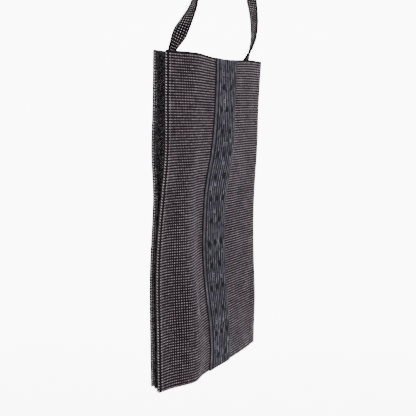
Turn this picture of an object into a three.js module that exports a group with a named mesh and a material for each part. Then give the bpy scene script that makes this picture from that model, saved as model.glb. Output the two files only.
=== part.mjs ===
// A flat shoulder bag of dotted cloth: two wavy panels, a black gusset folded in between their sides,
// a narrow base strip, a woven band down the middle of each panel, and one long strap from the mouth.
// Millimetres, +Z up. The front faces -Y, and the origin is where the strap hangs on its hook.
import * as THREE from "three";

// Bag
const BAG_WIDTH = 304;
const BAG_HEIGHT = 360;
const SIDE_PULL = 2; // how far each side edge is drawn in at half height
const MOUTH_SAG = 3.5; // how far the mouth's edge drops between the strap's ends
const PIECE_GAP = 0.3; // between a panel and the band or strap sewn on it

// Panels
const CLOTH_WALL = 1.8;
const RIM_WALL = 3; // cloth folded back on itself along the side and bottom edges
const RIM_RUN = 5;
const RIM_BLEND = 3;
const RIM_ROUND = 1.5;
const ROUND_SHARE = 0.3; // of RIM_WALL, by which each face gives way at the outermost edge
const HEM_WALL = 3.2; // cloth turned in at the mouth
const HEM_DEPTH = 22;
const FRONT_FOLD = 20; // depth of the front panel's folds
const BACK_BULGE = 11; // how far the back panel stands out in its middle
const BACK_LIFT = 6; // how much higher the back panel's bottom edge is than the front panel's
const LIFT_POWER = 12; // how soon that fades upwards

// Gusset
const GUSSET_WALL = 1.2;
const GUSSET_SLACK = 0.8; // least room between the gusset's two legs
const GUSSET_OPEN = 9; // how much further apart the panels stand where the side is widest
const GUSSET_FOLD = 15; // how far the fold reaches in from the side edge
const GUSSET_INSET = 1.5; // from the edge of the panels to the edge of the gusset
const GUSSET_GAP = 0.5; // between its legs and the panels
const FOLD_SPREAD = 0.12; // half the fold's width, as a share of the space between the panels
const FOLD_WALL = 0.8; // the wall beside the fold, as a share of GUSSET_WALL

// Base strip
const BASE_RISE = 5; // its height inside the bottom edge
const BASE_END_RISE = 2.4; // the same at its two ends
const BASE_END_RUN = 24; // from each side of the bag, over which the rise grows
const BASE_INSET = 0.8; // from the panels' bottom edges up to its own edges
const BASE_END = 1; // from the side edge to its ends
const FRONT_SEAM = 3.2; // from its top, which slants up to the back, to a gusset's front leg
const BACK_SEAM = 0.6; // the same for the back leg

// Band
const BAND_WIDTH = 72;
const BAND_SHIFT = 3; // from the panel's middle towards its far side
const BAND_WALL = 1.5;
const BAND_ROUND = 0.6;

// Strap
const STRAP_WIDTH = 16;
const STRAP_THICK = 2.6;
const STRAP_INSET = 36; // from the side edge to the middle of a strap end
const STRAP_SEWN = 20; // how far down the hem a strap end reaches
const STRAP_LEAVES = 8; // below the mouth's edge, where it starts to lift off the hem
const STRAP_EDGE = 0.4; // half the width of its narrow side, as a share of half its thickness
const STRAP_FLAT = 0.9; // how far its flat sides reach, as a share of half its width
const STRAP_DROP = 245; // from the mouth up to the hook
const LEG_BEND = 76; // height over which a leg bends and twists
const LEG_LEAN = 34.5; // inward, over that height
const LEG_PLANE = 12.1; // how far in front of the bag's middle plane the legs end up
const HOOK_RADIUS = 15;
const HOOK_FORWARD = 3; // from the bag's middle plane

// Places across a panel, as shares of its width
const FLANK_AT = 0.085;
const VALLEY_AT = 0.3;
const BAND_NEAR_AT = 0.39;
const BAND_FAR_AT = 0.63;
const FAR_FLANK_AT = 0.83;
const BACK_CREASE_AT = 0.2;
const BACK_MIDDLE_AT = 0.5;

// The front panel from its near side to the valley beside the band, by height. Heights and ridge_at are
// shares of the bag's height and width, and the rest are shares of FRONT_FOLD.
const NEAR_FOLDS = [
  { up: 0, near: -0.02, flank: 0.36, ridge_at: 0.21, ridge: 0.9, valley: 0.66 },
  { up: 0.065, near: -0.07, flank: 0.25, ridge_at: 0.2, ridge: 0.98, valley: 0.7 },
  { up: 0.17, near: -0.15, flank: 0.14, ridge_at: 0.185, ridge: 0.9, valley: 0.57 },
  { up: 0.26, near: -0.23, flank: 0.03, ridge_at: 0.175, ridge: 0.76, valley: 0.38 },
  { up: 0.37, near: -0.28, flank: -0.02, ridge_at: 0.165, ridge: 0.56, valley: 0.15 },
  { up: 0.48, near: -0.21, flank: 0, ridge_at: 0.155, ridge: 0.46, valley: 0.08 },
  { up: 0.58, near: -0.07, flank: 0.08, ridge_at: 0.155, ridge: 0.42, valley: 0.12 },
  { up: 0.7, near: 0.09, flank: 0.24, ridge_at: 0.165, ridge: 0.5, valley: 0.34 },
  { up: 0.84, near: 0.04, flank: 0.32, ridge_at: 0.175, ridge: 0.58, valley: 0.5 },
  { up: 1, near: 0, flank: 0.36, ridge_at: 0.185, ridge: 0.72, valley: 0.58 },
];

// The front panel from the band's near edge to its far side, in the same shares.
const FAR_FOLDS = [
  { up: 0, band_near: 0.53, band_far: 0.4, far_flank: 0.24, far: -0.19 },
  { up: 0.065, band_near: 0.56, band_far: 0.42, far_flank: 0.19, far: -0.19 },
  { up: 0.17, band_near: 0.4, band_far: 0.22, far_flank: 0.05, far: -0.16 },
  { up: 0.26, band_near: 0.14, band_far: 0.04, far_flank: -0.06, far: -0.25 },
  { up: 0.37, band_near: -0.08, band_far: -0.08, far_flank: -0.16, far: -0.35 },
  { up: 0.48, band_near: -0.1, band_far: -0.16, far_flank: -0.2, far: -0.39 },
  { up: 0.58, band_near: -0.05, band_far: -0.01, far_flank: -0.14, far: -0.36 },
  { up: 0.7, band_near: 0.3, band_far: 0.31, far_flank: 0.02, far: -0.27 },
  { up: 0.84, band_near: 0.46, band_far: 0.34, far_flank: 0.12, far: -0.29 },
  { up: 1, band_near: 0.49, band_far: 0.38, far_flank: 0.24, far: -0.2 },
];

// How far the near and the far side open, in shares of GUSSET_OPEN.
const SIDE_OPENINGS = [
  { up: 0, near: 0.04, far: 0 },
  { up: 0.17, near: 0.06, far: 0.02 },
  { up: 0.26, near: 0.03, far: 0.03 },
  { up: 0.37, near: 0, far: 0.04 },
  { up: 0.48, near: 0.02, far: 0.06 },
  { up: 0.58, near: 0.24, far: 0.12 },
  { up: 0.7, near: 0.94, far: 0.26 },
  { up: 0.84, near: 0.76, far: 0.34 },
  { up: 1, near: 0.7, far: 0.35 },
];

// The back panel, which bulges plainly. Its heights are shares too, and the rest of BACK_BULGE.
const BACK_FOLDS = [
  { up: 0, flank: 0.26, crease: 0.62, middle: 0.8, far_crease: 0.58, far_flank: 0.3 },
  { up: 0.2, flank: 0.36, crease: 0.86, middle: 1, far_crease: 0.76, far_flank: 0.38 },
  { up: 0.5, flank: 0.34, crease: 0.74, middle: 0.92, far_crease: 0.84, far_flank: 0.36 },
  { up: 0.78, flank: 0.28, crease: 0.56, middle: 0.66, far_crease: 0.6, far_flank: 0.3 },
  { up: 1, flank: 0.14, crease: 0.32, middle: 0.5, far_crease: 0.4, far_flank: 0.18 },
];

// A strap leg from the mouth up: height as a share of LEG_BEND, lean as a share of LEG_LEAN, forward as
// a share of the way to LEG_PLANE, and how far each leg has turned from lying flat, in degrees.
const LEG_BENDS = [
  { up: 0, lean: 0, forward: 0.17, near_turn: 3, far_turn: 1 },
  { up: 0.07, lean: 0.01, forward: 0.28, near_turn: 13, far_turn: 12 },
  { up: 0.18, lean: 0.05, forward: 0.47, near_turn: 40, far_turn: 26 },
  { up: 0.34, lean: 0.165, forward: 0.7, near_turn: 80, far_turn: 36 },
  { up: 0.47, lean: 0.33, forward: 0.84, near_turn: 103, far_turn: 42 },
  { up: 0.6, lean: 0.51, forward: 0.95, near_turn: 123, far_turn: 48 },
  { up: 0.74, lean: 0.69, forward: 1, near_turn: 136, far_turn: 55 },
  { up: 1, lean: 1, forward: 1, near_turn: 125, far_turn: 72 },
];

const REST_GAP = 2 * (GUSSET_GAP + GUSSET_WALL) + GUSSET_SLACK; // between the panels' rims, at least
const EDGE_PLANE = (REST_GAP + GUSSET_OPEN) / 3; // from the middle plane to the front rim's back

// Reads a table smoothly between its rows, by its column "up".
function smoothTable(rows) {
  const names = Object.keys(rows[0]).filter((name) => name !== "up");
  const curve = new THREE.CubicInterpolant(
    rows.map((row) => row.up),
    rows.flatMap((row) => names.map((name) => row[name])),
    names.length,
    new Float64Array(names.length),
  );
  return (up) => {
    const values = curve.evaluate(up);
    return Object.fromEntries(names.map((name, i) => [name, values[i]]));
  };
}

// A smooth line through [place, value] pairs.
function smoothLine(knots, place) {
  const curve = new THREE.CubicInterpolant(
    knots.map((knot) => knot[0]),
    knots.map((knot) => knot[1]),
    1,
    new Float64Array(1),
  );
  return curve.evaluate(place)[0];
}

const nearFolds = smoothTable(NEAR_FOLDS);
const farFolds = smoothTable(FAR_FOLDS);
const sideOpening = smoothTable(SIDE_OPENINGS);
const backFolds = smoothTable(BACK_FOLDS);

// Where the outer face of the front panel lies, at a share across and a share up.
function frontFace(across, up) {
  const near = nearFolds(up);
  const far = farFolds(up);
  const depth = smoothLine(
    [
      [0, near.near * FRONT_FOLD + RIM_WALL],
      [FLANK_AT, near.flank * FRONT_FOLD],
      [near.ridge_at, near.ridge * FRONT_FOLD],
      [VALLEY_AT, near.valley * FRONT_FOLD],
      [BAND_NEAR_AT, far.band_near * FRONT_FOLD],
      [BAND_FAR_AT, far.band_far * FRONT_FOLD],
      [FAR_FLANK_AT, far.far_flank * FRONT_FOLD],
      [1, far.far * FRONT_FOLD + RIM_WALL],
    ],
    across,
  );
  return -EDGE_PLANE - depth;
}

// The same for the back panel, whose side edges follow the front panel's across the gusset.
function backFace(across, up) {
  const fold = backFolds(up);
  const edge = THREE.MathUtils.lerp(nearFolds(up).near, farFolds(up).far, across) * FRONT_FOLD;
  const opening = sideOpening(up);
  const gap = REST_GAP + THREE.MathUtils.lerp(opening.near, opening.far, across) * GUSSET_OPEN;
  const bulge = smoothLine(
    [
      [0, 0],
      [FLANK_AT, fold.flank],
      [BACK_CREASE_AT, fold.crease],
      [BACK_MIDDLE_AT, fold.middle],
      [1 - BACK_CREASE_AT, fold.far_crease],
      [1 - FLANK_AT, fold.far_flank],
      [1, 0],
    ],
    across,
  );
  return -EDGE_PLANE - edge + gap + RIM_WALL + bulge * BACK_BULGE;
}

// From 1 on a rim or hem of the given run to 0 past its blend.
function turned(distance, run) {
  return 1 - THREE.MathUtils.smoothstep(distance, run, run + RIM_BLEND);
}

// A panel's thickness, at a distance from its left edge and its bottom edge.
function panelWall(along, height) {
  const side = Math.min(along, BAG_WIDTH - along);
  const rim = Math.max(turned(side, RIM_RUN), turned(height, RIM_RUN)) * (RIM_WALL - CLOTH_WALL);
  const hem = turned(BAG_HEIGHT - height, HEM_DEPTH) * (HEM_WALL - CLOTH_WALL);
  return CLOTH_WALL + Math.max(rim, hem);
}

// How much each face gives way at a panel's outermost edge, so that the edge is round.
function edgeRound(along, height) {
  const nearest = Math.min(along, BAG_WIDTH - along, height, BAG_HEIGHT - height);
  const share = Math.max(0, 1 - nearest / RIM_ROUND);
  return share * share * RIM_WALL * ROUND_SHARE;
}

// The place in the bag's outline of a point by its distances from the left and bottom edges.
function outline(along, height, depth) {
  const across = along / BAG_WIDTH;
  const up = height / BAG_HEIGHT;
  const width = BAG_WIDTH - 2 * SIDE_PULL * Math.sin(Math.PI * up);
  const from_strap = Math.min(1, Math.abs(across - 0.5) / (0.5 - STRAP_INSET / BAG_WIDTH));
  const sag = MOUTH_SAG * (0.5 + 0.5 * Math.cos(Math.PI * from_strap)) * up ** 8;
  return new THREE.Vector3((across - 0.5) * width, depth, height - sag);
}

// A point of a panel: facing is -1 for the front panel and 1 for the back, inward is measured from its
// outer face towards the inside of the bag.
function panelPoint(facing, along, height, inward) {
  const up = height / BAG_HEIGHT;
  const face = facing < 0 ? frontFace : backFace;
  const point = outline(along, height, face(along / BAG_WIDTH, up) - facing * inward);
  if (facing > 0) point.z += BACK_LIFT * (1 - up) ** LIFT_POWER;
  return point;
}

// A point of the panel's inner face.
function innerPoint(facing, along, height, clearance) {
  return panelPoint(facing, along, height, panelWall(along, height) + clearance);
}

// Evenly spaced values from start to end, without start.
function steps(start, end, count) {
  return Array.from({ length: count }, (_, i) => start + ((end - start) * (i + 1)) / count);
}

// A closed solid between two grids of points that face each other, wound so that it faces out.
function sheetSolid(outer, inner) {
  const rows = outer.length;
  const count = outer[0].length;
  const points = [...outer.flat(), ...inner.flat()];
  const at = (side, i, j) => side * rows * count + i * count + j;
  const index = [];
  const quad = (a, b, c, d) => index.push(a, b, c, a, c, d);
  for (let i = 0; i + 1 < rows; i++) {
    for (let j = 0; j + 1 < count; j++) {
      quad(at(0, i, j), at(0, i, j + 1), at(0, i + 1, j + 1), at(0, i + 1, j));
      quad(at(1, i, j), at(1, i + 1, j), at(1, i + 1, j + 1), at(1, i, j + 1));
    }
    quad(at(0, i, 0), at(0, i + 1, 0), at(1, i + 1, 0), at(1, i, 0));
    quad(at(0, i, count - 1), at(1, i, count - 1), at(1, i + 1, count - 1), at(0, i + 1, count - 1));
  }
  for (let j = 0; j + 1 < count; j++) {
    quad(at(0, 0, j), at(1, 0, j), at(1, 0, j + 1), at(0, 0, j + 1));
    quad(at(0, rows - 1, j), at(0, rows - 1, j + 1), at(1, rows - 1, j + 1), at(1, rows - 1, j));
  }
  return closedGeometry(points, index);
}

// A geometry from points and triangles, with the triangles turned over if they face in.
function closedGeometry(points, index) {
  let volume = 0;
  for (let k = 0; k < index.length; k += 3) {
    const [a, b, c] = [points[index[k]], points[index[k + 1]], points[index[k + 2]]];
    volume += a.dot(new THREE.Vector3().crossVectors(b, c));
  }
  if (volume < 0) index.reverse();
  const geometry = new THREE.BufferGeometry().setFromPoints(points);
  geometry.setIndex(index);
  geometry.computeVertexNormals();
  return geometry;
}

const BAND_LEFT = BAG_WIDTH / 2 + BAND_SHIFT - BAND_WIDTH / 2;
const BAND_RIGHT = BAND_LEFT + BAND_WIDTH;
const EDGE_STEPS = [0, RIM_ROUND, RIM_RUN, RIM_RUN + RIM_BLEND, GUSSET_FOLD];
const BAND_COLUMNS = [BAND_LEFT, ...steps(BAND_LEFT, BAND_RIGHT, 6)];
const COLUMNS = [
  ...EDGE_STEPS,
  ...steps(GUSSET_FOLD, BAND_LEFT, 9),
  ...BAND_COLUMNS.slice(1),
  ...steps(BAND_RIGHT, BAG_WIDTH - GUSSET_FOLD, 7),
  ...EDGE_STEPS.slice(0, -1).reverse().map((edge) => BAG_WIDTH - edge),
];
const GUSSET_START = GUSSET_FOLD + RIM_RUN;
const HEM_START = BAG_HEIGHT - HEM_DEPTH - RIM_BLEND;
const MIDDLE_ROWS = [GUSSET_START, ...steps(GUSSET_START, HEM_START, 17)];
const HEM_ROWS = [HEM_START + RIM_BLEND, BAG_HEIGHT - HEM_DEPTH / 2, BAG_HEIGHT - RIM_ROUND];
const ROWS = [...EDGE_STEPS.slice(0, -1), ...MIDDLE_ROWS, ...HEM_ROWS, BAG_HEIGHT];

// One panel with its folded rims and turned hem.
function panel(facing) {
  const face = (inward) =>
    ROWS.map((height) => COLUMNS.map((along) => panelPoint(facing, along, height, inward(along, height))));
  return sheetSolid(
    face((along, height) => edgeRound(along, height)),
    face((along, height) => panelWall(along, height) - edgeRound(along, height)),
  );
}

// The woven band on the outer face of a panel, from the mouth to the bottom edge.
function band(facing) {
  const inset = (along) => {
    const edge = Math.min(along - BAND_LEFT, BAND_RIGHT - along);
    return edge > 0 ? 0 : BAND_ROUND;
  };
  const face = (stand) =>
    ROWS.map((height) =>
      BAND_COLUMNS.map((along) => panelPoint(facing, along, height, -PIECE_GAP - stand(along))),
    );
  return sheetSolid(
    face((along) => BAND_WALL - inset(along)),
    face(() => 0),
  );
}

// The points of a strip's section that lie on a panel, at distances from its outer edge.
function legSpots(distances, facing) {
  return distances.map((distance) => ({ distance, facing, leg: true }));
}

// The two points at the middle of a strip's fold.
function foldSpots(distance) {
  return [-1, 1].map((facing) => ({ distance, facing, leg: false }));
}

// The point of a strip's section at a place: raise is 0 on the face that lies on the panels and
// GUSSET_WALL on the face seen from outside, and place gives the distances along and up for a spot and
// its raise.
function stripPoint(spot, raise, place) {
  const [along, height] = place(spot, raise);
  if (spot.leg) return innerPoint(spot.facing, along, height, GUSSET_GAP + raise);
  const front = innerPoint(-1, along, height, 0);
  const back = innerPoint(1, along, height, 0);
  const middle = front.clone().lerp(back, 0.5);
  middle.y += spot.facing * (GUSSET_WALL + (back.y - front.y) * FOLD_SPREAD - raise * FOLD_WALL);
  return middle;
}

// A strip between the panels: places lists, for each section, where its spots lie.
function strip(spots, places) {
  const face = (raise) => places.map((place) => spots.map((spot) => stripPoint(spot, raise, place)));
  return sheetSolid(face(0), face(GUSSET_WALL));
}

// How far the base strip's fold rises between the panels at a distance along them.
function riseAt(along) {
  const share = THREE.MathUtils.smoothstep(Math.min(along, BAG_WIDTH - along), 0, BASE_END_RUN);
  return THREE.MathUtils.lerp(BASE_END_RISE, BASE_RISE, share);
}

// A side gusset, from the base strip to the mouth. side is -1 for the left one and 1 for the right one.
function sideGusset(side) {
  const legs = [GUSSET_INSET, RIM_RUN, RIM_RUN + RIM_BLEND];
  const spots = [...legSpots(legs, -1), ...foldSpots(GUSSET_FOLD), ...legSpots(legs.reverse(), 1)];
  const along = ({ leg, distance }, raise) => {
    const inward = leg ? distance : distance - raise;
    return side < 0 ? inward : BAG_WIDTH - inward;
  };
  const low = (share) => (spot, raise) => {
    const lowest = riseAt(spot.distance) + (spot.facing < 0 ? FRONT_SEAM : BACK_SEAM);
    return [along(spot, raise), THREE.MathUtils.lerp(lowest, GUSSET_START, share)];
  };
  const level = (height) => (spot, raise) => [along(spot, raise), height];
  return strip(spots, [low(0), low(0.5), ...[...MIDDLE_ROWS, ...HEM_ROWS].map(level)]);
}

// The strip that closes the bottom between the panels' lower edges. Its spots lie at shares of the way
// from its seam up to its fold.
function baseStrip() {
  const shares = [0, 0.4, 1];
  const spots = [...legSpots(shares, -1), ...foldSpots(1), ...legSpots([...shares].reverse(), 1)];
  const inner = COLUMNS.filter((along) => along > BASE_END && along < BAG_WIDTH - BASE_END);
  const places = [BASE_END, ...inner, BAG_WIDTH - BASE_END];
  const place = (along) => (spot, raise) => {
    const height = THREE.MathUtils.lerp(BASE_INSET, riseAt(along) - raise, spot.distance);
    return [along, height];
  };
  return strip(spots, places.map(place));
}

// The middle line of the strap and how far it has turned at each place, in degrees. It starts flat on
// the hem of the back panel at the near side, runs over the hook and ends at the far side.
function strapRoute() {
  const reach = BAG_WIDTH / 2 - STRAP_INSET;
  const clear = PIECE_GAP + STRAP_THICK / 2;
  const leg = (side) => {
    const along = side < 0 ? STRAP_INSET : BAG_WIDTH - STRAP_INSET;
    const turn = (row) => (side < 0 ? row.near_turn : 180 - row.far_turn);
    const flat = side < 0 ? 0 : 180;
    const sewn = [STRAP_SEWN, (STRAP_SEWN + STRAP_LEAVES) / 2, STRAP_LEAVES].map((below) => {
      const left = innerPoint(1, along - STRAP_WIDTH / 2, BAG_HEIGHT - below, clear);
      const right = innerPoint(1, along + STRAP_WIDTH / 2, BAG_HEIGHT - below, clear);
      const slope = Math.atan2(right.y - left.y, right.x - left.x);
      return { point: left.lerp(right, 0.5), turn: flat - THREE.MathUtils.radToDeg(slope) };
    });
    const root = sewn.at(-1).point;
    const bends = LEG_BENDS.map((row) => {
      const x = side * (reach - row.lean * LEG_LEAN);
      const y = THREE.MathUtils.lerp(root.y, -LEG_PLANE, row.forward);
      return { point: new THREE.Vector3(x, y, BAG_HEIGHT + row.up * LEG_BEND), turn: turn(row) };
    });
    return [...sewn, ...bends];
  };
  const near = leg(-1);
  const far = leg(1).reverse();
  return [...near, ...overHook(near.at(-1), far[0]), ...far];
}

// The hidden stretch of the strap: straight up to the hook from both legs and round it.
function overHook(from, to) {
  const radius = HOOK_RADIUS + STRAP_THICK / 2;
  const centre = new THREE.Vector3(0, -HOOK_FORWARD, BAG_HEIGHT + STRAP_DROP - HOOK_RADIUS);
  const run = -from.point.x;
  const rise = centre.z - from.point.z;
  const steep = Math.atan2(run, rise) - Math.asin(radius / Math.hypot(run, rise));
  const onHook = (angle) =>
    centre.clone().add(new THREE.Vector3(Math.sin(angle) * radius, 0, Math.cos(angle) * radius));
  const start = steep - Math.PI / 2;
  const arc = [start, ...steps(start, -start, 6)].map((angle) => ({ point: onHook(angle), turn: 90 }));
  const straight = (end, foot) =>
    [0.25, 0.5, 0.75].map((share) => ({
      point: foot.point.clone().lerp(end.point, share),
      turn: THREE.MathUtils.lerp(foot.turn, 90, Math.sqrt(share)),
    }));
  return [...straight(arc[0], from), ...arc, ...straight(arc.at(-1), to).reverse()];
}

// The flat strap, swept along its route with its turns.
function strap() {
  const route = strapRoute();
  const lengths = [0];
  for (let i = 1; i < route.length; i++) {
    lengths.push(lengths[i - 1] + route[i].point.distanceTo(route[i - 1].point));
  }
  const values = route.flatMap((spot) => [...spot.point.toArray(), spot.turn]);
  const curve = new THREE.CubicInterpolant(lengths, values, 4, new Float64Array(4));
  const places = route.slice(1).flatMap((_, i) => steps(lengths[i], lengths[i + 1], 2));
  const across = STRAP_WIDTH / 2;
  const thick = STRAP_THICK / 2;
  const flat = across * STRAP_FLAT;
  const edge = thick * STRAP_EDGE;
  const section = [
    [across, -edge], [across, edge], [flat, thick], [-flat, thick],
    [-across, edge], [-across, -edge], [-flat, -thick], [flat, -thick],
  ];
  const rings = [0, ...places].map((length) => {
    const [x, y, z, turn] = curve.evaluate(length);
    const here = new THREE.Vector3(x, y, z);
    const ahead = new THREE.Vector3(...curve.evaluate(length + 0.5));
    const behind = new THREE.Vector3(...curve.evaluate(length - 0.5));
    const run = ahead.sub(behind).normalize();
    const angle = THREE.MathUtils.degToRad(turn);
    const wide = new THREE.Vector3(Math.cos(angle), -Math.sin(angle), 0);
    wide.addScaledVector(run, -run.dot(wide)).normalize();
    const out = new THREE.Vector3().crossVectors(run, wide);
    return section.map(([a, b]) => here.clone().addScaledVector(wide, a).addScaledVector(out, b));
  });
  return ringSolid(rings);
}

// A closed solid through rings of points, with flat ends.
function ringSolid(rings) {
  const count = rings[0].length;
  const index = [];
  for (let i = 0; i + 1 < rings.length; i++) {
    for (let j = 0; j < count; j++) {
      const next = (j + 1) % count;
      const [a, b, c, d] = [i * count + j, i * count + next, (i + 1) * count + next, (i + 1) * count + j];
      index.push(a, b, c, a, c, d);
    }
  }
  const last = (rings.length - 1) * count;
  for (let j = 1; j + 1 < count; j++) {
    index.push(0, j + 1, j);
    index.push(last, last + j, last + j + 1);
  }
  return closedGeometry(rings.flat(), index);
}

const dottedCloth = new THREE.MeshStandardMaterial({ color: 0x4a4446, roughness: 0.9, metalness: 0 });
const blackCloth = new THREE.MeshStandardMaterial({ color: 0x161517, roughness: 0.85, metalness: 0 });
const bandCloth = new THREE.MeshStandardMaterial({ color: 0x4c4e58, roughness: 0.8, metalness: 0 });

function piece(name, geometry, material) {
  const mesh = new THREE.Mesh(geometry, material);
  mesh.name = name;
  return mesh;
}

const bag = new THREE.Group();
bag.add(piece("front_panel", panel(-1), dottedCloth));
bag.add(piece("back_panel", panel(1), dottedCloth));
bag.add(piece("front_band", band(-1), bandCloth));
bag.add(piece("back_band", band(1), bandCloth));
bag.add(piece("left_gusset", sideGusset(-1), blackCloth));
bag.add(piece("right_gusset", sideGusset(1), blackCloth));
bag.add(piece("base_strip", baseStrip(), dottedCloth));
bag.add(piece("shoulder_strap", strap(), dottedCloth));
bag.position.set(0, HOOK_FORWARD, -BAG_HEIGHT - STRAP_DROP);

const shoulderBag = new THREE.Group();
shoulderBag.add(bag);

export default shoulderBag;
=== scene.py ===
"""A flat shoulder bag of dotted cloth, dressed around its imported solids.

The panels are rebuilt as fine cloth with rolled rims, and the raised floats of the weave, the woven bands'
cords and the stitches are laid on them by Geometry Nodes. Everything is in metres, in the row frame.
"""

import logging
import math
from dataclasses import dataclass, field
from enum import Enum
from functools import partial
from typing import Callable, Sequence

import bpy
import numpy as np
from mathutils import Matrix, Vector
from mathutils.bvhtree import BVHTree


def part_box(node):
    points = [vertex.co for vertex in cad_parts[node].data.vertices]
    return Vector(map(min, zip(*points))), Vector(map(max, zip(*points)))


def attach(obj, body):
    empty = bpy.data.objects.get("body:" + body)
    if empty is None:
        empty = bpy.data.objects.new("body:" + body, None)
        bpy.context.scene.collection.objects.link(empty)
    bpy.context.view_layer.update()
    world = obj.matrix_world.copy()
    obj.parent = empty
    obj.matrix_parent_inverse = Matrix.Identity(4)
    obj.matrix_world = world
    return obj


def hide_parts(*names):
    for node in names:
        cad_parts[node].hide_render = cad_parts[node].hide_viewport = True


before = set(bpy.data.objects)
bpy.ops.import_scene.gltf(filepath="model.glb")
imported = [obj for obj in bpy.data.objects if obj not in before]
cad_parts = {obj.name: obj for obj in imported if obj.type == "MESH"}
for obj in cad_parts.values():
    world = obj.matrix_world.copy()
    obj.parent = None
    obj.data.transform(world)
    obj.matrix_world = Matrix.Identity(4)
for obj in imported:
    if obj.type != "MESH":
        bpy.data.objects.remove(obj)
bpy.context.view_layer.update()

log = logging.getLogger("bag")
MM = 0.001
Grid = np.ndarray
Colour = tuple[float, float, float]
Extent = tuple[float, float, float]
Piece = bpy.types.Object
Finish = bpy.types.Material

# The bag's own sizes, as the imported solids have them
FRONT_LOW, FRONT_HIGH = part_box("front_panel")
BAG_WIDTH = FRONT_HIGH.x - FRONT_LOW.x
BAG_HEIGHT = FRONT_HIGH.z - FRONT_LOW.z
BOTTOM_Z = FRONT_LOW.z
MOUTH_Z = FRONT_HIGH.z
BACK_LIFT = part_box("back_panel")[0].z - BOTTOM_Z
SIDE_PULL = 2 * MM
MOUTH_SAG = 3.5 * MM
SAG_POWER = 8
LIFT_POWER = 12
STRAP_INSET = 36 * MM
RIM_WALL = 3 * MM
RIM_RUN = 5 * MM
RIM_BLEND = 3 * MM
HEM_WALL = 3.2 * MM
HEM_DEPTH = 22 * MM
CLOTH_WALL = 1.8 * MM
BAND_WIDTH = 72 * MM
BAND_LEFT = BAG_WIDTH / 2 + 3 * MM - BAND_WIDTH / 2
BAND_RIGHT = BAND_LEFT + BAND_WIDTH

# The weave
COLUMN_PITCH = 3 * MM
ROW_PITCH = 2.95 * MM


class Facing(Enum):
    """Which way the outer face of a panel looks along Y."""

    FRONT = -1
    BACK = 1


Place = Callable[[float, float, Facing], tuple[float, float]]


def smoothstep(value: Grid, start: float, end: float) -> Grid:
    """0 before start, 1 past end, and a smooth way between."""
    share = np.clip((value - start) / (end - start), 0, 1)
    return share * share * (3 - 2 * share)


def link(obj: Piece) -> Piece:
    """Puts an object in the scene."""
    bpy.context.scene.collection.objects.link(obj)
    return obj


def drop(obj: Piece) -> None:
    """Deletes an object and its mesh."""
    mesh = obj.data
    bpy.data.objects.remove(obj)
    bpy.data.meshes.remove(mesh)


def mark(mesh: bpy.types.Mesh, label: str, values: Grid) -> None:
    """Keeps a number for each vertex of a mesh."""
    layer = mesh.attributes.new(label, "FLOAT", "POINT")
    layer.data.foreach_set("value", values.astype(np.float32))


def mesh_object(
    name: str, points: Grid, faces: Sequence[Sequence[int]], weave: Grid | None = None
) -> Piece:
    """Makes a smooth mesh object.

    Args:
        name: the object's name.
        points: one row of three coordinates for each vertex.
        faces: the vertices of each face, anticlockwise from outside.
        weave: where each vertex lies in the flat cloth, in metres, kept as the UV map "weave".

    Returns:
        The object, in the scene.
    """
    mesh = bpy.data.meshes.new(name)
    mesh.from_pydata(points.tolist(), [], faces)
    mesh.shade_smooth()
    if weave is not None:
        corners = np.empty(len(mesh.loops), int)
        mesh.loops.foreach_get("vertex_index", corners)
        layer = mesh.uv_layers.new(name="weave")
        layer.data.foreach_set("uv", weave[corners].astype(np.float32).ravel())
    return link(bpy.data.objects.new(name, mesh))


def seat(piece: Piece, slot: str, *nodes: str) -> Piece:
    """Ties a piece to the frame.

    Args:
        piece: the finished piece.
        slot: the record's material slot; not used.
        nodes: the CAD nodes that it stands for.

    Returns:
        The piece.
    """
    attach(piece, "root")
    if nodes:
        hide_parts(*nodes)
    log.info("%s: %d triangles", piece.name, sum(len(p.vertices) - 2 for p in piece.data.polygons))
    return piece


def sheet_faces(rows: int, columns: int) -> list[tuple[int, int, int, int]]:
    """The faces of a closed solid between two grids of points, the first of them outside.

    Args:
        rows: rows of each grid.
        columns: columns of each grid.

    Returns:
        Four vertices for each face.
    """
    outer, inner = np.arange(2 * rows * columns).reshape(2, rows, columns).tolist()
    faces = []
    for i in range(rows - 1):
        for j in range(columns - 1):
            faces.append((outer[i][j], outer[i][j + 1], outer[i + 1][j + 1], outer[i + 1][j]))
            faces.append((inner[i][j], inner[i + 1][j], inner[i + 1][j + 1], inner[i][j + 1]))
        faces.append((outer[i][0], outer[i + 1][0], inner[i + 1][0], inner[i][0]))
        faces.append((outer[i][-1], inner[i][-1], inner[i + 1][-1], outer[i + 1][-1]))
    for j in range(columns - 1):
        faces.append((outer[0][j], inner[0][j], inner[0][j + 1], outer[0][j + 1]))
        faces.append((outer[-1][j], outer[-1][j + 1], inner[-1][j + 1], inner[-1][j]))
    return faces


def sheet_object(name: str, outer: Grid, inner: Grid, weave: Grid) -> Piece:
    """Makes a closed sheet between two grids of points, turned so that it faces out.

    Args:
        name: the object's name.
        outer: rows by columns by three, the face seen from outside.
        inner: the same for the other face.
        weave: rows by columns by two, the place of each point in the flat cloth.

    Returns:
        The object.
    """
    rows, columns = outer.shape[:2]
    points = np.concatenate([outer.reshape(-1, 3), inner.reshape(-1, 3)])
    faces = np.array(sheet_faces(rows, columns))
    a, b, c, d = (points[faces[:, k]] for k in range(4))
    volume = np.einsum("ij,ij->", a, np.cross(b, c) + np.cross(c, d))
    if volume < 0:
        faces = faces[:, ::-1]
    flat = weave.reshape(-1, 2)
    return mesh_object(name, points, faces.tolist(), np.concatenate([flat, flat]))


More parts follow.
